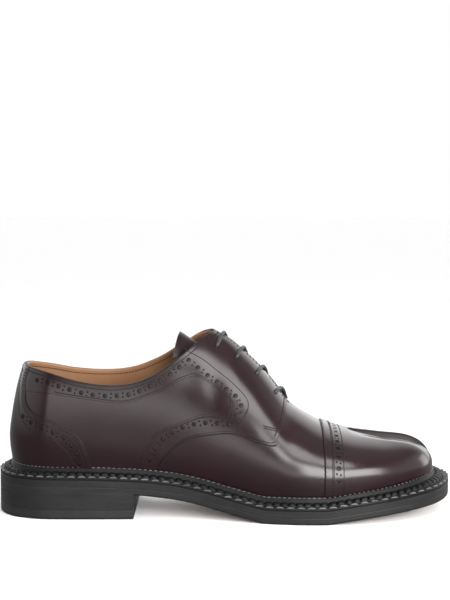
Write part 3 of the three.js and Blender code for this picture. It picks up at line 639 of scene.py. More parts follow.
def leather(xy, height):
    """Places and outward directions on a layer of leather this high over the vamp."""
    place, along, across, out = sheet_at(xy)
    bumps = relief(xy)
    h = 0.15
    slope_x = (relief(xy + [h, 0]) - relief(xy - [h, 0])) / (2 * h)
    slope_y = (relief(xy + [0, h]) - relief(xy - [0, h])) / (2 * h)
    way = unit(np.cross(along + out * slope_x[:, None], across + out * slope_y[:, None]))
    return place + out * (bumps + height)[:, None], way


def across_edge(line, height, closed=True):
    """Places, outward directions and directions out of the panel along its edge, for an edge that runs
    counter-clockwise in the pattern."""
    place, way = leather(line, height)
    if closed:
        ahead = np.roll(place, -1, axis=0) - np.roll(place, 1, axis=0)
    else:
        ahead = np.gradient(place, axis=0)
    return place, way, unit(np.cross(ahead, way))


# Meshes. A part is points, outward directions, faces and the number of its material.
def joined(parts):
    points, ways, faces, stuff = [], [], [], []
    count = 0
    for p, w, f, m in parts:
        points.append(p)
        ways.append(w)
        faces.extend([tuple(i + count for i in face) for face in f])
        stuff.extend([m] * len(f))
        count += len(p)
    return np.concatenate(points), np.concatenate(ways), faces, stuff


def faced(points, ways, faces):
    """The faces, each turned so that it looks the way its points do."""
    turned_faces = []
    for face in faces:
        a, b, c = points[face[0]], points[face[1]], points[face[2]]
        look = ways[list(face)].sum(axis=0)
        right = np.dot(np.cross(b - a, c - a), look) >= 0
        turned_faces.append(face if right else tuple(reversed(face)))
    return turned_faces


def new_piece(name, parts, materials, replaces, normals=True):
    """A mesh in metres from parts in millimetres."""
    points, ways, faces, stuff = joined(parts)
    faces = faced(points, ways, faces)
    points = (points - [LENGTH / 2, MIDDLE_Y, 0]) / 1000
    mesh = bpy.data.meshes.new(name)
    mesh.from_pydata(points.tolist(), [], faces)
    for material in materials:
        mesh.materials.append(material)
    mesh.polygons.foreach_set("material_index", stuff)
    mesh.polygons.foreach_set("use_smooth", [True] * len(faces))
    if normals:
        mesh.normals_split_custom_set_from_vertices(ways.tolist())
    else:
        mesh.set_sharp_from_angle(angle=math.radians(38))
    mesh.update()
    piece = bpy.data.objects.new(name, mesh)
    bpy.context.scene.collection.objects.link(piece)
    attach(piece, "root")
    if replaces:
        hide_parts(*replaces)
    return piece


def strips(rows, loop):
    """Quads between rows of points that follow each other."""
    count = len(rows[0])
    faces = []
    for r in range(len(rows) - 1):
        for i in range(count if loop else count - 1):
            a, b = r * count + i, r * count + (i + 1) % count
            faces.append((a, b, b + count, a + count))
    return faces


def inside(points, loop):
    """Which points lie inside a closed loop."""
    x, y = points[:, 0][:, None], points[:, 1][:, None]
    a, b = loop, np.roll(loop, -1, axis=0)
    crosses = (a[:, 1] > y) != (b[:, 1] > y)
    rise = np.where(b[:, 1] == a[:, 1], 1, b[:, 1] - a[:, 1])
    at = (b[:, 0] - a[:, 0]) * (y - a[:, 1]) / rise + a[:, 0]
    return (crosses & (x < at)).sum(axis=1) % 2 == 1


def nearest(points, others):
    """Distance from each point to the nearest of the others."""
    best = np.full(len(points), 1e9)
    for k in range(0, len(others), 200):
        gap = points[:, None] - others[None, k:k + 200]
        best = np.minimum(best, (gap ** 2).sum(-1).min(axis=1))
    return np.sqrt(best)


def filled(outline, holes, spacing, finer=()):
    """Triangles that fill an outline less its holes, with even points between. finer lists boxes with
    their own spacing."""
    low, high = outline.min(0), outline.max(0)
    sets = [hexagons(low, high, spacing)]
    for x0, x1, y0, y1, close in finer:
        sets[0] = sets[0][~box_mask(sets[0], x0, x1, y0, y1)]
        sets.append(hexagons(np.array([x0, y0]), np.array([x1, y1]), close))
    dots = np.concatenate(sets)
    dots = dots[inside(dots, outline)]
    for hole in holes:
        dots = dots[~in_hole(dots, hole)]
    fence = np.concatenate([outline, *holes])
    dots = dots[nearest(dots, fence) > 0.45 * min([spacing, *[f[4] for f in finer]])]
    loops, start = [], 0
    for ring in [outline, *holes]:
        loops += [(start + i, start + (i + 1) % len(ring)) for i in range(len(ring))]
        start += len(ring)
    every = np.concatenate([fence, dots])
    made = delaunay_2d_cdt([Vector(p) for p in every.tolist()], loops, [], 0, 1e-4)
    points = np.array([tuple(v) for v in made[0]])
    faces = np.array([f for f in made[2] if len(f) == 3])
    middle = points[faces].mean(axis=1)
    keep = inside(middle, outline)
    for hole in holes:
        keep &= ~in_hole(middle, hole)
    return points, [tuple(f) for f in faces[keep].tolist()]


def box_mask(points, x0, x1, y0, y1):
    return (points[:, 0] > x0) & (points[:, 0] < x1) & (points[:, 1] > y0) & (points[:, 1] < y1)


def in_hole(points, hole):
    """Which points lie inside the loop of a hole."""
    box = box_mask(points, *np.stack([hole.min(0) - 1, hole.max(0) + 1], -1).ravel())
    mine = np.zeros(len(points), bool)
    mine[box] = inside(points[box], hole)
    return mine


def hexagons(low, high, spacing):
    rows = np.arange(low[1], high[1], spacing * 0.866)
    columns = np.arange(low[0], high[0], spacing)
    x, y = np.meshgrid(columns, rows)
    x = x + (np.arange(len(rows)) % 2)[:, None] * spacing / 2
    return np.stack([x.ravel(), y.ravel()], -1)


def turned(loop):
    """The loop, counter-clockwise."""
    x, y = loop.T
    area = np.sum(x * np.roll(y, -1) - np.roll(x, -1) * y)
    return loop if area > 0 else loop[::-1]


def ring_in_pattern(centre, radius, corners):
    """A round hole of this radius on the leather, as a pattern loop."""
    _, along, across, _ = sheet_at(centre)
    a, b = along[0], across[0]
    first = a / np.linalg.norm(a)
    second = b - first * (b @ first)
    second = second / np.linalg.norm(second)
    turn = np.arange(corners) * 2 * np.pi / corners
    wanted = radius * (np.cos(turn)[:, None] * first + np.sin(turn)[:, None] * second)
    pair = np.stack([a, b], -1)
    return centre + np.linalg.lstsq(pair, wanted.T, rcond=None)[0].T


def wall(line, height, thick, bevel, closed=True):
    """Edge of a panel: a small round and a straight wall down."""
    place, way, away = across_edge(line, height, closed)
    rows, ways = [place], [way]
    for turn in (0.5, 1.0):
        a = turn * math.pi / 2
        rows.append(place + away * bevel * math.sin(a) - way * bevel * (1 - math.cos(a)))
        ways.append(way * math.cos(a) + away * math.sin(a))
    rows.append(rows[-1] - way * (thick - bevel))
    ways.append(away)
    return np.concatenate(rows), np.concatenate(ways), strips(rows, closed), 1


HOLE_DEEP = 0.6


def floor_of(line, height, material):
    """Bottom of a hole, a little domed."""
    rim, way = leather(line, height)
    middle, up = leather(line.mean(axis=0)[None], height + 0.06 * np.ptp(line[:, 0]))
    half = (rim + middle) / 2 + up * 0.03 * np.ptp(line[:, 0])
    lean = unit(rim - middle)
    count = len(line)
    points = np.concatenate([rim, half, middle])
    ways = np.concatenate([way + lean * 0.25, way + lean * 0.15, up])
    faces = strips([rim, half], True)
    faces += [(count + k, count + (k + 1) % count, 2 * count) for k in range(count)]
    return points, ways, faces, material


def panel(outline, height, thick, spacing=1.5, holes=(), cuts=(), finer=(), bevel=0.25, rim=True):
    """A piece of leather: its face, its edge, and its punched holes. cuts are openings without a floor."""
    outline = turned(outline)
    rings = [turned(ring) for ring in holes]
    gaps = [turned(ring) for ring in cuts]
    points, faces = filled(outline, rings + gaps, spacing, finer)
    place, way = leather(points, height)
    parts = [(place, way, faces, 0)]
    if rim:
        parts.append(wall(outline, height, thick, bevel))
        parts += [wall(ring[::-1], height, thick, bevel) for ring in gaps]
    # The holes' walls and floors take material 2: painted shade, darker than the leather.
    for ring in rings:
        points, ways, sides, _ = wall(ring[::-1], height, HOLE_DEEP, 0.2)
        parts.append((points, ways, sides, 2))
        parts.append(floor_of(ring[::-1], height - HOLE_DEEP, 2))
    return parts


def flipped(parts):
    return [(p, -w, [tuple(reversed(f)) for f in faces], m) for p, w, faces, m in parts]


# Materials.
def mixed(tree, factor, first, second):
    node = tree.nodes.new("ShaderNodeMix")
    node.data_type = "RGBA"
    for socket, value in ((node.inputs[6], first), (node.inputs[7], second)):
        if isinstance(value, tuple):
            socket.default_value = (*value, 1)
        else:
            tree.links.new(value, socket)
    tree.links.new(factor, node.inputs[0])
    return node.outputs[2]


def noise(tree, scale, detail=3.0, stretch=None):
    """Noise over the object's own metres, from 0 to 1."""
    place = tree.nodes.new("ShaderNodeTexCoord").outputs["Object"]
    if stretch:
        mapping = tree.nodes.new("ShaderNodeMapping")
        mapping.inputs["Scale"].default_value = stretch
        tree.links.new(place, mapping.inputs["Vector"])
        place = mapping.outputs["Vector"]
    node = tree.nodes.new("ShaderNodeTexNoise")
    node.inputs["Scale"].default_value = scale
    node.inputs["Detail"].default_value = detail
    tree.links.new(place, node.inputs["Vector"])
    return node.outputs["Fac"]


def ranged(tree, value, low, high, from_low=0.3, from_high=0.7):
    node = tree.nodes.new("ShaderNodeMapRange")
    node.inputs["From Min"].default_value = from_low
    node.inputs["From Max"].default_value = from_high
    node.inputs["To Min"].default_value = low
    node.inputs["To Max"].default_value = high
    tree.links.new(value, node.inputs["Value"])
    return node.outputs["Result"]


def bumped(tree, height, distance, strength=1.0, under=None):
    node = tree.nodes.new("ShaderNodeBump")
    node.inputs["Distance"].default_value = distance
    node.inputs["Strength"].default_value = strength
    tree.links.new(height, node.inputs["Height"])
    if under is not None:
        tree.links.new(under, node.inputs["Normal"])
    return node.outputs["Normal"]


def material(name, first, second, blotch, rough, grain, grain_deep, wave=0.0, wave_deep=0.0,
             coat=0.0, coat_rough=0.2, specular=0.5, stretch=None):
    """A finish with two colours in soft patches, uneven gloss and a bump."""
    made = bpy.data.materials.new(name)
    made.use_nodes = True
    tree = made.node_tree
    shader = tree.nodes["Principled BSDF"]
    patches = ranged(tree, noise(tree, blotch, 4.0, stretch), 0, 1)
    tree.links.new(mixed(tree, patches, first, second), shader.inputs["Base Color"])
    tree.links.new(ranged(tree, noise(tree, blotch * 7), *rough), shader.inputs["Roughness"])
    normal = bumped(tree, noise(tree, grain, 2.0), grain_deep)
    if wave:
        normal = bumped(tree, noise(tree, wave, 1.0), wave_deep, 1.0, normal)
    tree.links.new(normal, shader.inputs["Normal"])
    shader.inputs["Coat Weight"].default_value = coat
    shader.inputs["Coat Roughness"].default_value = coat_rough
    shader.inputs["Specular IOR Level"].default_value = specular
    return made


OXBLOOD_PATCHES = ((0.0125, 0.0036, 0.0048), (0.0075, 0.0023, 0.003), 26)
OXBLOOD = material("polished_leather", *OXBLOOD_PATCHES, (0.2, 0.23), 1500, 0.00002, 60, 0.00008,
                   specular=0.38)
CUT_EDGE = material("cut_leather_edge", (0.01, 0.0045, 0.005), (0.006, 0.003, 0.0035), 60, (0.4, 0.55), 2200,
                    0.00006, specular=0.25)
# Painted shade: a colour darker than the leather for the walls and floors of the punched holes and for the
# strips under the stitches, where shade falls in recesses.
PAINTED_RECESS_SHADE = material("painted_recess_shade", (0.006, 0.003, 0.0035), (0.0035, 0.002, 0.0022), 200, (0.38, 0.5), 2500,
                0.00002, specular=0.22)
LINING_TAN = material("tan_lining", (0.26, 0.13, 0.062), (0.2, 0.095, 0.043), 30, (0.42, 0.55), 1700, 0.00005)
# Stitch thread: partly its own near-black colour and partly a painted glint, since it is painted lighter and
# greyer than the leather.
THREAD_WITH_GLINT = material("dark_thread_with_painted_glint", (0.018, 0.012, 0.012), (0.008, 0.005, 0.005), 400, (0.4, 0.55), 5000,
                  0.00008, specular=0.2)
WELT_THREAD = material("waxed_welt_thread", (0.1, 0.1, 0.104), (0.03, 0.03, 0.031), 90, (0.3, 0.45), 4000,
                       0.00008)
WELT_BLACK = material("black_welt", (0.003, 0.003, 0.0032), (0.006, 0.006, 0.0063), 120, (0.42, 0.6), 1300,
                      0.0001, specular=0.16)
EDGE_BLACK = material("waxed_sole_edge", (0.014, 0.014, 0.0145), (0.009, 0.009, 0.0095), 30, (0.4, 0.5), 900,
                      0.00005, specular=0.25, stretch=(1, 1, 9))
RUBBER = material("rubber_lift", (0.014, 0.014, 0.0143), (0.011, 0.011, 0.0113), 40, (0.4, 0.55), 1200,
                  0.00006, specular=0.35)
SOLE_TAN = material("sole_leather", (0.42, 0.17, 0.065), (0.32, 0.125, 0.045), 25, (0.35, 0.5), 1500, 0.00005)
TONGUE_OXBLOOD = material("soft_leather", *OXBLOOD_PATCHES, (0.36, 0.42), 1500, 0.00004, specular=0.2)
LACE_WAXED = material("waxed_lace", (0.014, 0.012, 0.0125), (0.022, 0.019, 0.0195), 300, (0.4, 0.55), 3500,
                      0.0001)
# The third material is the painted shade of the holes.
UPPER_STUFF = [OXBLOOD, CUT_EDGE, PAINTED_RECESS_SHADE]

# Camera, as in the photograph. It looks down by a few degrees.
LOOK_DOWN = 5.19
camera = bpy.data.objects.new("camera", bpy.data.cameras.new("camera"))
bpy.context.scene.collection.objects.link(camera)
camera.location = (0, -0.9502, 0.228)
camera.rotation_euler = (math.radians(90 - LOOK_DOWN), 0, 0)
camera.data.lens = 84.89
camera.data.sensor_width = 36
bpy.context.scene.camera = camera

# Leather of the upper.
HOLE_RADIUS = 1.55
PIN_RADIUS = 0.68
PIN_ASIDE = 1.25
EYELET_RADIUS = 1.7
EYELET_WIDER = 1.2


def punched(centres):
    """Large holes at the centres, with a pair of pinholes across the line between them."""
    rings = [ring_in_pattern(c, HOLE_RADIUS, 16) for c in centres]
    middles = (centres[1:] + centres[:-1]) / 2
    run = unit(centres[1:] - centres[:-1])
    across = np.stack([-run[:, 1], run[:, 0]], -1) * PIN_ASIDE
    rings += [ring_in_pattern(c, PIN_RADIUS, 9) for c in np.concatenate([middles + across, middles - across])]
    return rings


def eyelet_place(k, side):
    x = EYELETS[k] * LENGTH + (EYELET_FORWARD if side > 0 else 0)
    return np.array([x, crest_y(x) + side * (EYELET_OUT + EYELET_WIDER)])


NAMES = {-1: "quarter_outer", 1: "quarter_inner"}
for side in (-1, 1):
    chain = side_line(np.concatenate([COLLAR_HOLES, BAND_HOLES]), side)
    rings = punched(chain) + [ring_in_pattern(eyelet_place(k, side), EYELET_RADIUS, 16) for k in range(4)]
    parts = panel(quarter_outline(side), OVERLAY, OVERLAY + 0.1, holes=rings)
    new_piece(NAMES[side] + "_leather", parts, UPPER_STUFF, [NAMES[side]])
    parts = panel(window_outline(side), WINDOW, 1.0)
    new_piece(NAMES[side] + "_field", parts, UPPER_STUFF, [NAMES[side]])

rings = []
for side in (-1, 1):
    rings += punched(side_line(COUNTER_HOLES, side))
parts = panel(counter_outline(), COUNTER, 0.8, holes=rings)
new_piece("counter_leather", parts, UPPER_STUFF, ["heel_counter"])

CAP_HOLES = 226.3
CAP_HOLE_PITCH = 7.4
CAP_HOLES_ASIDE = 28
span = np.arange(-7.5, 8) * CAP_HOLE_PITCH
span = np.stack([np.full(len(span), CAP_HOLES), span - CAP_HOLES_ASIDE + 3.5 * CAP_HOLE_PITCH], -1)
TOE_ZONE = (230.0, 338.0, -8.0, 20.0, 0.7)
parts = panel(cap_outline(), OVERLAY, OVERLAY + 0.1, holes=punched(span), finer=[TOE_ZONE], bevel=1.0)
cap = new_piece("cap_leather", parts, UPPER_STUFF, ["toe_cap"])

# The far wall of the cleft is dull, and the cap's folded edge is polished.
CLEFT_WALL_FROM = 239
CLEFT_WALL = (-1, 3.6)
STEEP = -0.35
for face in cap.data.polygons:
    across = face.center.y * 1000 + MIDDLE_Y - CLEFT_ASIDE
    ahead = face.center.x * 1000 + LENGTH / 2 > CLEFT_WALL_FROM
    in_cleft = ahead and CLEFT_WALL[0] < across < CLEFT_WALL[1] and face.normal.y < STEEP
    if in_cleft or face.material_index == 1:
        face.material_index = 1 if in_cleft else 0

outer_loop, opening_loop = shell_outline()
parts = panel(outer_loop, 0, 1.2, 2.0, cuts=[opening_loop], rim=False)
new_piece("vamp_leather", parts, UPPER_STUFF, ["upper"])
parts = flipped(panel(outer_loop, INSIDE, 1, 2.5, cuts=[opening_loop], rim=False))
new_piece("lining", parts, [LINING_TAN], ["upper"])
# Section of the collar's rolled rim: height, and place out of the panel. It ends on the lining.
RIM = [(1.25, 0), (1.18, 0.4), (0.8, 0.8), (0.15, 0.98), (-0.6, 0.92), (-1.2, 0.6), (-1.5, 0.1), (-1.6, -1.9),
       (-1.75, -2.0)]


def swept(line, profile, closed=False, stuff=0):
    """A strip along a pattern line. The profile gives heights and places out of the panel."""
    place, way, away = across_edge(line, 0, closed)
    rows = [place + way * up + away * out for up, out in profile]
    grid = np.stack(rows)
    ahead = np.roll(grid, -1, 1) - np.roll(grid, 1, 1) if closed else np.gradient(grid, axis=1)
    ways = unit(np.cross(ahead, np.gradient(grid, axis=0)))
    if np.sum(ways * (grid - grid.mean(axis=0))) < 0:
        ways = -ways
    return grid.reshape(-1, 3), ways.reshape(-1, 3), strips(rows, closed), stuff


rims = []
for line in (SLIT[-1][::-1], SLIT[1]):
    rims += [swept(line, RIM[:5]), swept(line, RIM[4:], stuff=1)]
new_piece("collar_edge", rims, [CUT_EDGE, LINING_TAN], ["upper"], normals=False)

# Stitches. Each one is a small capsule whose ends dive into the leather.
STITCH_ALONG = np.array([-1, -0.8, -0.35, 0.35, 0.8, 1])
STITCH_THICK = np.array([0.3, 0.75, 1, 1, 0.75, 0.3])
STITCH_UP = np.array([-0.9, -0.1, 0.35, 0.35, -0.1, -0.9])
STITCH_SIDES = 6


def capsules(places, ways, runs, length, radius, stuff=0):
    """Capsules at places, along runs, on a surface with these outward directions."""
    turn = np.arange(STITCH_SIDES) * 2 * np.pi / STITCH_SIDES
    runs = unit(runs)
    across = np.cross(ways, runs)
    a = (STITCH_ALONG * length / 2)[None, :, None, None]
    thick = (STITCH_THICK * radius)[None, :, None, None]
    up = (STITCH_UP * radius)[None, :, None, None]
    side = np.cos(turn)[None, None, :, None]
    high = np.sin(turn)[None, None, :, None]
    run, out, wide = runs[:, None, None], ways[:, None, None], across[:, None, None]
    points = places[:, None, None] + run * a + out * (up + thick * high) + wide * thick * side
    normal = np.broadcast_to(wide * side + out * high, points.shape)
    rings = len(STITCH_ALONG)
    base = strips([turn] * rings, True)
    faces = []
    for k in range(len(places)):
        start = k * rings * STITCH_SIDES
        faces += [tuple(reversed([start + i for i in f])) for f in base]
    return points.reshape(-1, 3), normal.reshape(-1, 3), faces, stuff


def stitched(line, height, pitch=2.1, length=1.5, radius=0.3):
    """A row of stitches along a pattern line."""
    marks = respaced(line, pitch)
    middles = (marks[1:] + marks[:-1]) / 2
    place, way = leather(middles, height)
    ends = leather(marks, height)[0]
    return capsules(place, way, ends[1:] - ends[:-1], length, radius)


def painted_groove_shade(line, height, width=0.6):
    """A thin strip of painted shade on the leather under a row of stitches, dark where the thread's groove
    would be shaded.
    """
    line = respaced(line, 0.7)
    left, way = leather(beside(line, width / 2), height + 0.025)
    right, _ = leather(beside(line, -width / 2), height + 0.025)
    rows = [right, left]
    return np.concatenate(rows), np.concatenate([way, way]), strips(rows, False), 1


# A row of stitches with its strip of painted shade under it.
def seam(line, height, **sizes):
    return [stitched(line, height, **sizes), painted_groove_shade(line, height)]


def without_ends(line, first, last):
    """A line shortened by these lengths at its ends."""
    run = run_of(line)
    return line[(run >= first) & (run <= run[-1] - last)]


def below_collar(line, deep=0.8):
    """The part of a line that lies on the upper, this deep under the collar's edge."""
    place = sheet_at(line)[0]
    return line[place[:, 2] < collar_height(place[:, 0], place[:, 1]) - deep]


# Distances of the seams from the edges they follow.
COUNTER_SEAMS = (1.2, 3.6, 11.0)
CAP_SEAMS = (3.7, 4.6, 11.0)
CAP_SEAM_SPAN = (-68, 74)
seams = []
for side in (-1, 1):
    frame_line = drawn(side_line(BAND_OUTER, side), 0.8, 1.2)
    seams += seam(frame_line, OVERLAY)
    seams += seam(beside(INNER[side], 1.2 * side), OVERLAY)
    seams += seam(without_ends(beside(SWAN[side], -1.5 * side), 1.0, 0), OVERLAY)
    seams += seam(without_ends(beside(SLIT[side], 2.1 * side), 12, 1), OVERLAY)
    seams += seam(without_ends(beside(FRONT[side], 1.6 * side), 1, 1.4), OVERLAY)
    tack = drawn(side_line(BAR_TACK, side), 0.5, 0)
    seams += seam(tack, OVERLAY, radius=0.4) + seam(beside(tack, 1.1), OVERLAY, radius=0.4)
    edge = COUNTER_LINE[side]
    for away in COUNTER_SEAMS:
        seams += seam(below_collar(beside(edge, away * side)), COUNTER)
for ahead in CAP_SEAMS:
    y = np.arange(*CAP_SEAM_SPAN, 1.0)
    seams += seam(np.stack([np.full(len(y), CAP_EDGE + ahead), y], -1), OVERLAY)
# This piece also holds the strips of painted shade under the stitches.
new_piece("upper_stitching", seams, [THREAD_WITH_GLINT, PAINTED_RECESS_SHADE], ())

inner_seams = [stitched(beside(SLIT[side], 2.2 * side), INSIDE, 2.1, 1.8, 0.36) for side in (-1, 1)]
new_piece("lining_stitching", inner_seams, [THREAD_WITH_GLINT], ())

# Tongue. It lies under the facings and its top end stands up a little behind the collar.
TONGUE_SINK = np.array([
    (118, -4.8), (121, -5.3), (124, -6.4), (128, -8.4), (132, -10.1), (136, -11.0), (144, -10.5), (152, -7.5),
    (160, -5.6), (205, -4.6),
])
TONGUE_END = 122.5
TONGUE_FRONT = 205
TONGUE_HALF = 23.0
TONGUE_THICK = 1.3
END_WIDER = 9
END_WIDER_LONG = 25
END_ROUND = 4.5
END_ROUND_LONG = 30
TONGUE_ROWS, TONGUE_COLUMNS = 90, 41


def tongue_parts():
    """Grids of the tongue's upper and lower faces, and the upper one's outward directions."""
    x = np.linspace(TONGUE_END, TONGUE_FRONT, TONGUE_ROWS)
    share = np.linspace(-1, 1, TONGUE_COLUMNS)
    along, aside = np.meshgrid(x, share, indexing="ij")
    round_end = END_ROUND * np.abs(aside) ** 1.4 * np.clip(1 - (along - TONGUE_END) / END_ROUND_LONG, 0, 1)
    along = along - round_end
    half = TONGUE_HALF + END_WIDER * np.clip(1 - (along - TONGUE_END) / END_WIDER_LONG, 0, 1)
    flat = np.stack([along.ravel(), (crest_y(along) + aside * half).ravel()], -1)
    sink = curve_of(*TONGUE_SINK.T)(along.ravel())
    place, _, _, out = sheet_at(flat)
    top = (place + out * sink[:, None]).reshape(TONGUE_ROWS, TONGUE_COLUMNS, 3)
    low = (place + out * (sink - TONGUE_THICK)[:, None]).reshape(TONGUE_ROWS, TONGUE_COLUMNS, 3)
    return top, low, out


top, low, out = tongue_parts()
end = [top[0], low[0]]
parts = [
    (top.reshape(-1, 3), out, strips(list(top), False), 0),
    (low.reshape(-1, 3), -out, strips(list(low), False), 1),
    (np.concatenate(end), np.tile([-1.0, 0, 0], (2 * len(top[0]), 1)), strips(end, False), 2),
]
new_piece("tongue_leather", parts, [TONGUE_OXBLOOD, LINING_TAN, CUT_EDGE], ["tongue"],
          normals=False)

# Lace: bars over the facings, joined by legs under them.
LACE_RADIUS = 1.3
LACE_HIGH = OVERLAY + 1.2
LACE_LOW = -4.0
BEND = 1.7


def lace_points():
    """The lace's path as places over the pattern."""
    path = []
    for k in range(4):
        ends = [eyelet_place(k, side) for side in ((-1, 1) if k % 2 == 0 else (1, -1))]
        run = ends[1] - ends[0]
        way = run / np.linalg.norm(run)
        hops = [(0, LACE_LOW), (0, -1.0), (0.25, 1.6), (BEND, LACE_HIGH)]
        path += [(*(ends[0] + way * a), up) for a, up in hops]
        path += [(*(ends[0] + run * t), LACE_HIGH) for t in (0.3, 0.5, 0.7)]
        path += [(*(ends[1] - way * a), up) for a, up in reversed(hops)]
        if k < 3:
            path.append((*((ends[1] + eyelet_place(k + 1, 1 if k % 2 == 0 else -1)) / 2), LACE_LOW - 0.6))
    flat = np.array(path)
    place, _, _, out = sheet_at(flat[:, :2])
    return place + out * flat[:, 2:]


def rounded(points, spacing, soft):
    run = run_of(points)
    fine = np.linspace(0, run[-1], int(run[-1] / 0.1))
    line = np.stack([blurred(np.interp(fine, run, points[:, k]), soft / 0.1) for k in range(3)], -1)
    return respaced(line, spacing)


def tube(path, radius, corners, braid=0.0, twist=2.4):
    """A round cord along a path, with the crossed ridges of a braid."""
    ahead = unit(np.gradient(path, axis=0))
    side = np.cross(ahead[0], [0, 0, 1.0])
    frames = []
    for way in ahead:
        side = side - way * (side @ way)
        side = side / np.linalg.norm(side)
        frames.append((side, np.cross(way, side)))
    turn = np.arange(corners) * 2 * np.pi / corners
    run = run_of(path)
    rows = []
    for k, (first, second) in enumerate(frames):
        phase = 2 * np.pi * run[k] / twist
        ridge = np.maximum(np.cos(4 * turn + phase), np.cos(4 * turn - phase))
        out = radius * (1 + braid * ridge)
        rows.append(path[k] + np.cos(turn)[:, None] * out[:, None] * first
                    + np.sin(turn)[:, None] * out[:, None] * second)
    return np.concatenate(rows), np.zeros((len(rows) * corners, 3)), strips(rows, True), 0


lace = rounded(lace_points(), 0.32, 0.9)
new_piece("lace_cord", [tube(lace, LACE_RADIUS, 16, 0.06)], [LACE_WAXED], ["lace"], normals=False)

# Sole, welt and heel, from rows round the edge.
ROUND = 720
AROUND, ROUND_INWARD = edge_at(np.arange(ROUND) * 2 / ROUND)


def ring(inset, height):
    """The sole's edge moved inwards by so much, at heights along the shoe."""
    away = inset(AROUND[:, 0]) if callable(inset) else np.full(ROUND, inset)
    flat = AROUND + ROUND_INWARD * away[:, None]
    return np.column_stack([flat, height(flat[:, 0])])


def ringed(rows, stuff=0, up=False):
    faces = strips(rows, True)
    points = np.concatenate(rows)
    return points, np.zeros_like(points), [tuple(reversed(f)) for f in faces] if up else faces, stuff


def filled_ring(row, height, columns, stuff, up):
    """A sheet across the sole, from one side of a row to the other."""
    half = ROUND // 2
    outer, inner = row[:half + 1], np.concatenate([row[:1], row[:half - 1:-1]])
    share = np.linspace(0, 1, columns)[None, :, None]
    sheet = outer[:, None] * (1 - share) + inner[:, None] * share
    sheet[..., 2] = height(sheet[..., 0])
    faces = strips(list(sheet), False)
    faces = faces if up else [tuple(reversed(f)) for f in faces]
    return sheet.reshape(-1, 3), np.zeros((sheet.size // 3, 3)), faces, stuff


def over(base, up):
    return lambda x: base(x) + up


def band(levels, base):
    """Rows round the sole from pairs of inset and height over a base."""
    return [ring(inset, over(base, up)) for inset, up in levels]


# Edge sections of the sole: inset and height.
OUTSOLE_EDGE = [(1.3, 0.0), (0.75, 0.06), (0.3, 0.3), (0.08, 0.7), (0, 1.2), (0, 1.6),
                (0, OUTSOLE - 0.5), (0, OUTSOLE - 0.1), (0.05, OUTSOLE)]
rows = band(OUTSOLE_EDGE, underside)
parts = [ringed(rows), filled_ring(rows[0], underside, 24, 1, False)]
new_piece("outsole_edge", parts, [EDGE_BLACK, SOLE_TAN], ["outsole"], normals=False)
MIDSOLE_EDGE = [(0.05, -GAP), (0, -0.2), (0, 0.2), (0, MIDSOLE - 0.7), (0, MIDSOLE - 0.3), (0.25, MIDSOLE),
                (1.0, MIDSOLE + 0.02)]
midsole_base = over(underside, OUTSOLE + GAP)
new_piece("midsole_edge", [ringed(band(MIDSOLE_EDGE, midsole_base))], [EDGE_BLACK], ["midsole"],
          normals=False)


def lip_inset(x):
    return WELT_MARGIN * section["margin"](x / LENGTH) + TUCK / 2


EDGE_RUN = run_of(AROUND)
# Cross section of the storm welt: share of the way in to the upper, height over the feather line, depth of
# the teeth.
WELT = [
    (0.02, -0.35, 0), (0, 0.3, 0), (0.0, 1.2, 0), (0.05, 1.9, 0), (0.13, 2.3, 0), (0.2, 2.25, 0),
    (0.26, 2.0, 0), (0.29, 2.8, 0.5), (0.33, 3.9, 1.4), (0.46, 4.5, 1.5), (0.58, 4.8, 1.3), (0.62, 4.6, 0.5),
    (0.65, 4.1, 0), (0.7, 4.8, 0), (0.74, 6.0, 0), (0.8, 7.1, 0), (0.88, 7.7, 0), (0.96, 7.6, 0),
    (1.04, 6.6, 0), (1.1, 3.0, 0),
]
TOOTH_PITCH = 5.4
TOOTH_LEAN = 0.6


def welt_tall(x):
    """How much taller the welt stands at the heel and the toe."""
    return np.interp(x, [0, 22, 262, 298], [1.2, 1, 1, 1.35])


def welt_rows():
    """Rows round the welt. Between its teeth the rows lie lower and further in."""
    count = round(EDGE_RUN[-1] / TOOTH_PITCH)
    phase = (EDGE_RUN / EDGE_RUN[-1] * count) % 1
    tooth = smooth_step((0.4 - np.abs(phase - 0.5)) / 0.06)
    rows = []
    for share, up, deep in WELT:
        flat = AROUND + ROUND_INWARD * (share * lip_inset(AROUND[:, 0]))[:, None]
        low = (1 - tooth) * deep
        high = featherline(flat[:, 0]) + up * welt_tall(flat[:, 0]) - low
        rows.append(np.column_stack([flat + ROUND_INWARD * low[:, None] * TOOTH_LEAN, high]))
    return rows


welt = welt_rows()
new_piece("welt_leather", [ringed(welt)], [WELT_BLACK], ["welt"], normals=False)


def round_stitches(share, up, pitch, length, radius, lift):
    """Stitches round the welt at a share of the way in."""
    count = round(EDGE_RUN[-1] / pitch)
    s = np.interp((np.arange(count) + 0.5) / count * EDGE_RUN[-1], EDGE_RUN, np.arange(ROUND) * 2 / ROUND)
    edge, inward = edge_at(s)
    flat = edge + inward * (share * lip_inset(edge[:, 0]))[:, None]
    place = np.column_stack([flat, featherline(flat[:, 0]) + up * welt_tall(flat[:, 0])])
    run = np.column_stack([inward[:, 1], -inward[:, 0], np.zeros(count)])
    way = np.column_stack([-inward * math.cos(lift), np.full(count, math.sin(lift))])
    return capsules(place, way, run, length, radius)


rows = [
    round_stitches(0.04, 1.9, 6.9, 5.0, 0.62, 0.9),
    round_stitches(0.8, 7.15, 3.4, 2.3, 0.36, 0.9),
]
new_piece("welt_stitching", rows, [WELT_THREAD], ())

# Insole: a smooth sock inside the shoe.
sock = ring(lambda x: lip_inset(x) + 1.0, over(featherline, 3.0))
new_piece("insole_sock", [filled_ring(sock, over(featherline, 3.0), 18, 0, True)], [LINING_TAN], ["insole"],
          normals=False)

# Heel and top lift, from the sole's edge behind the breast and a straight row across.
BREAST_POINTS = 24


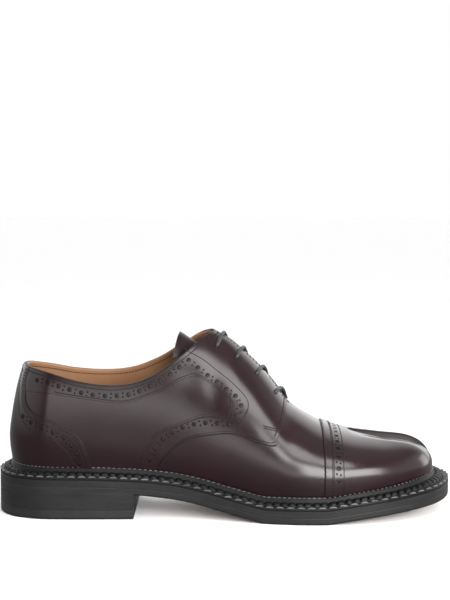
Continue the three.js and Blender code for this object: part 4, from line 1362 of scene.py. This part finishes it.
def heel_row(inset, height):
    """One row round the heel, moved inwards by so much."""
    behind = AROUND[:, 0] < HEEL_BREAST - 0.2
    half = ROUND // 2
    outer = np.nonzero(behind[:half])[0]
    inner = half + np.nonzero(behind[half:])[0]
    order = np.concatenate([inner, outer])
    edge = AROUND[order] + ROUND_INWARD[order] * inset
    edge[:, 0] = np.minimum(edge[:, 0], HEEL_BREAST - inset)
    first, last = edge[0].copy(), edge[-1].copy()
    first[0] = last[0] = HEEL_BREAST - inset
    share = np.linspace(0, 1, BREAST_POINTS)[:, None]
    front = last + (first - last) * share
    flat = np.concatenate([edge, front])
    return np.column_stack([flat, height(flat[:, 0])])


def level(up):
    return lambda x: np.full(len(x), up)


def heel_part(levels, stuff=0):
    return ringed([heel_row(inset, height) for inset, height in levels], stuff)


def heel_floor(inset, up, stuff):
    """The flat face under the heel, as a fan of rows towards its middle."""
    row = heel_row(inset, level(up))
    middle = row.mean(axis=0)
    rows = [middle + (row - middle) * share for share in (1, 0.75, 0.5, 0.25, 0.02)]
    return ringed(rows, stuff)


LIFT_ROUND = 1.6
LIFT_EDGE = [(LIFT_ROUND, 0), (0.8, 0.12), (0.2, 0.7), (0, 1.4), (0, 1.8), (0, TOP_LIFT - 0.5),
             (0, TOP_LIFT - 0.1), (0.1, TOP_LIFT)]
lift_levels = [(inset, level(up)) for inset, up in LIFT_EDGE]
parts = [heel_part(lift_levels), heel_floor(LIFT_ROUND, 0, 0)]
new_piece("top_lift_rubber", parts, [RUBBER], ["top_lift"], normals=False)
# Fine grooves between the layers of the heel stack, as shares of its height.
LIFT_JOINTS = (0.34, 0.67)
heel_levels = [(0.08, level(TOP_LIFT)), (0, level(TOP_LIFT + 0.15)), (0, level(TOP_LIFT + 0.5))]
for share in LIFT_JOINTS:
    groove = TOP_LIFT + GAP + share * (HEEL_HEIGHT - TOP_LIFT - 2 * GAP)
    heel_levels += [(inset, level(groove + up)) for inset, up in
                    ((0, -0.4), (0, -0.12), (0.04, 0), (0, 0.12), (0, 0.4))]
heel_levels += [(inset, over(underside, up)) for inset, up in ((0, 0.7), (0, 1.0), (0.1, 1.2), (0.6, 1.25))]
new_piece("heel_stack", [heel_part(heel_levels)], [EDGE_BLACK], ["heel"], normals=False)

# A large pale floor. The camera sees it nearly white, and the shoe is lit by it and mirrors it much darker.
FLOOR_SEEN, FLOOR_MIRRORED = 0.98, 0.16
floor_mesh = bpy.data.meshes.new("floor")
floor_mesh.from_pydata([(-6, -6, 0), (6, -6, 0), (6, 6, 0), (-6, 6, 0)], [], [(0, 1, 2, 3)])
floor = bpy.data.objects.new("floor", floor_mesh)
bpy.context.scene.collection.objects.link(floor)
FLOOR = material("pale_floor", (FLOOR_MIRRORED,) * 3, (FLOOR_SEEN,) * 3, 3, (0.6, 0.7), 300, 0.00001)
floor_mesh.materials.append(FLOOR)
ray = FLOOR.node_tree.nodes.new("ShaderNodeLightPath")
FLOOR.node_tree.links.new(ray.outputs["Is Camera Ray"], FLOOR.node_tree.nodes["Mix"].inputs[0])


def area_light(name, power, place, aim, wide, high):
    """A soft light of these sizes at a place, turned to a point."""
    lamp = bpy.data.lights.new(name, "AREA")
    lamp.shape = "RECTANGLE"
    lamp.size, lamp.size_y, lamp.energy = wide, high, power
    light = bpy.data.objects.new(name, lamp)
    light.location = place
    light.rotation_euler = (Vector(aim) - Vector(place)).to_track_quat("-Z", "Y").to_euler()
    bpy.context.scene.collection.objects.link(light)
    return light


# Soft studio light: a large box on the camera's side before the toe, one past the toe, a small one over the
# facing, and a long low one beside the heel.
area_light("front_box", 16.0, (0.4, -0.795, 0.3), (0.08, -0.04, 0.05), 0.76, 0.4)
area_light("toe_box", 1.7, (0.846, 0.297, 0.216), (0.134, 0, 0.04), 0.35, 0.4)
area_light("facing_box", 1.5, (0.14, -0.37, 0.43), (0.01, -0.03, 0.085), 0.26, 0.2)
area_light("side_box", 1.2, (-0.26, -0.86, 0.13), (0, -0.03, 0.08), 0.6, 0.16)

# Round the shoe it is dim at the camera's side, lighter overhead, and brightest behind the shoe and past its
# ends. The camera itself sees plain white.
TOP_FROM, TOP_TO, TOP_BRIGHT = 0.6, 0.95, 0.8
BACK_FROM, BACK_TO, BACK_BRIGHT = 0.35, 0.75, 1.95
ENDS_FROM, ENDS_TO, ENDS_BRIGHT = 0.45, 0.95, 1.5
SIDE_DIM = 0.14
world = bpy.data.worlds.new("studio")
bpy.context.scene.world = world
world.use_nodes = True
nodes, links = world.node_tree.nodes, world.node_tree.links
nodes.clear()


def ramp(value, start, end, bright):
    """Light that grows along one coordinate of the direction."""
    node = nodes.new("ShaderNodeMapRange")
    node.interpolation_type = "SMOOTHSTEP"
    node.inputs["From Min"].default_value = start
    node.inputs["From Max"].default_value = end
    node.inputs["To Min"].default_value = SIDE_DIM
    node.inputs["To Max"].default_value = bright
    links.new(value, node.inputs["Value"])
    return node.outputs["Result"]


def reckoned(operation, *values):
    """Result of a step of arithmetic on these values."""
    node = nodes.new("ShaderNodeMath")
    node.operation = operation
    for k, value in enumerate(values):
        links.new(value, node.inputs[k])
    return node.outputs["Value"]


where = nodes.new("ShaderNodeTexCoord")
apart = nodes.new("ShaderNodeSeparateXYZ")
links.new(where.outputs["Generated"], apart.inputs["Vector"])
top_light = ramp(apart.outputs["Z"], TOP_FROM, TOP_TO, TOP_BRIGHT)
back_light = ramp(apart.outputs["Y"], BACK_FROM, BACK_TO, BACK_BRIGHT)
end_light = ramp(reckoned("ABSOLUTE", apart.outputs["X"]), ENDS_FROM, ENDS_TO, ENDS_BRIGHT)
strength = reckoned("MAXIMUM", reckoned("MAXIMUM", top_light, back_light), end_light)
sky, seen = nodes.new("ShaderNodeBackground"), nodes.new("ShaderNodeBackground")
sky.inputs["Color"].default_value = seen.inputs["Color"].default_value = (1, 1, 1, 1)
links.new(strength, sky.inputs["Strength"])
path = nodes.new("ShaderNodeLightPath")
choose = nodes.new("ShaderNodeMixShader")
out = nodes.new("ShaderNodeOutputWorld")
links.new(path.outputs["Is Camera Ray"], choose.inputs["Fac"])
links.new(sky.outputs["Background"], choose.inputs[1])
links.new(seen.outputs["Background"], choose.inputs[2])
links.new(choose.outputs["Shader"], out.inputs["Surface"])
bpy.context.scene.view_settings.view_transform = "Standard"
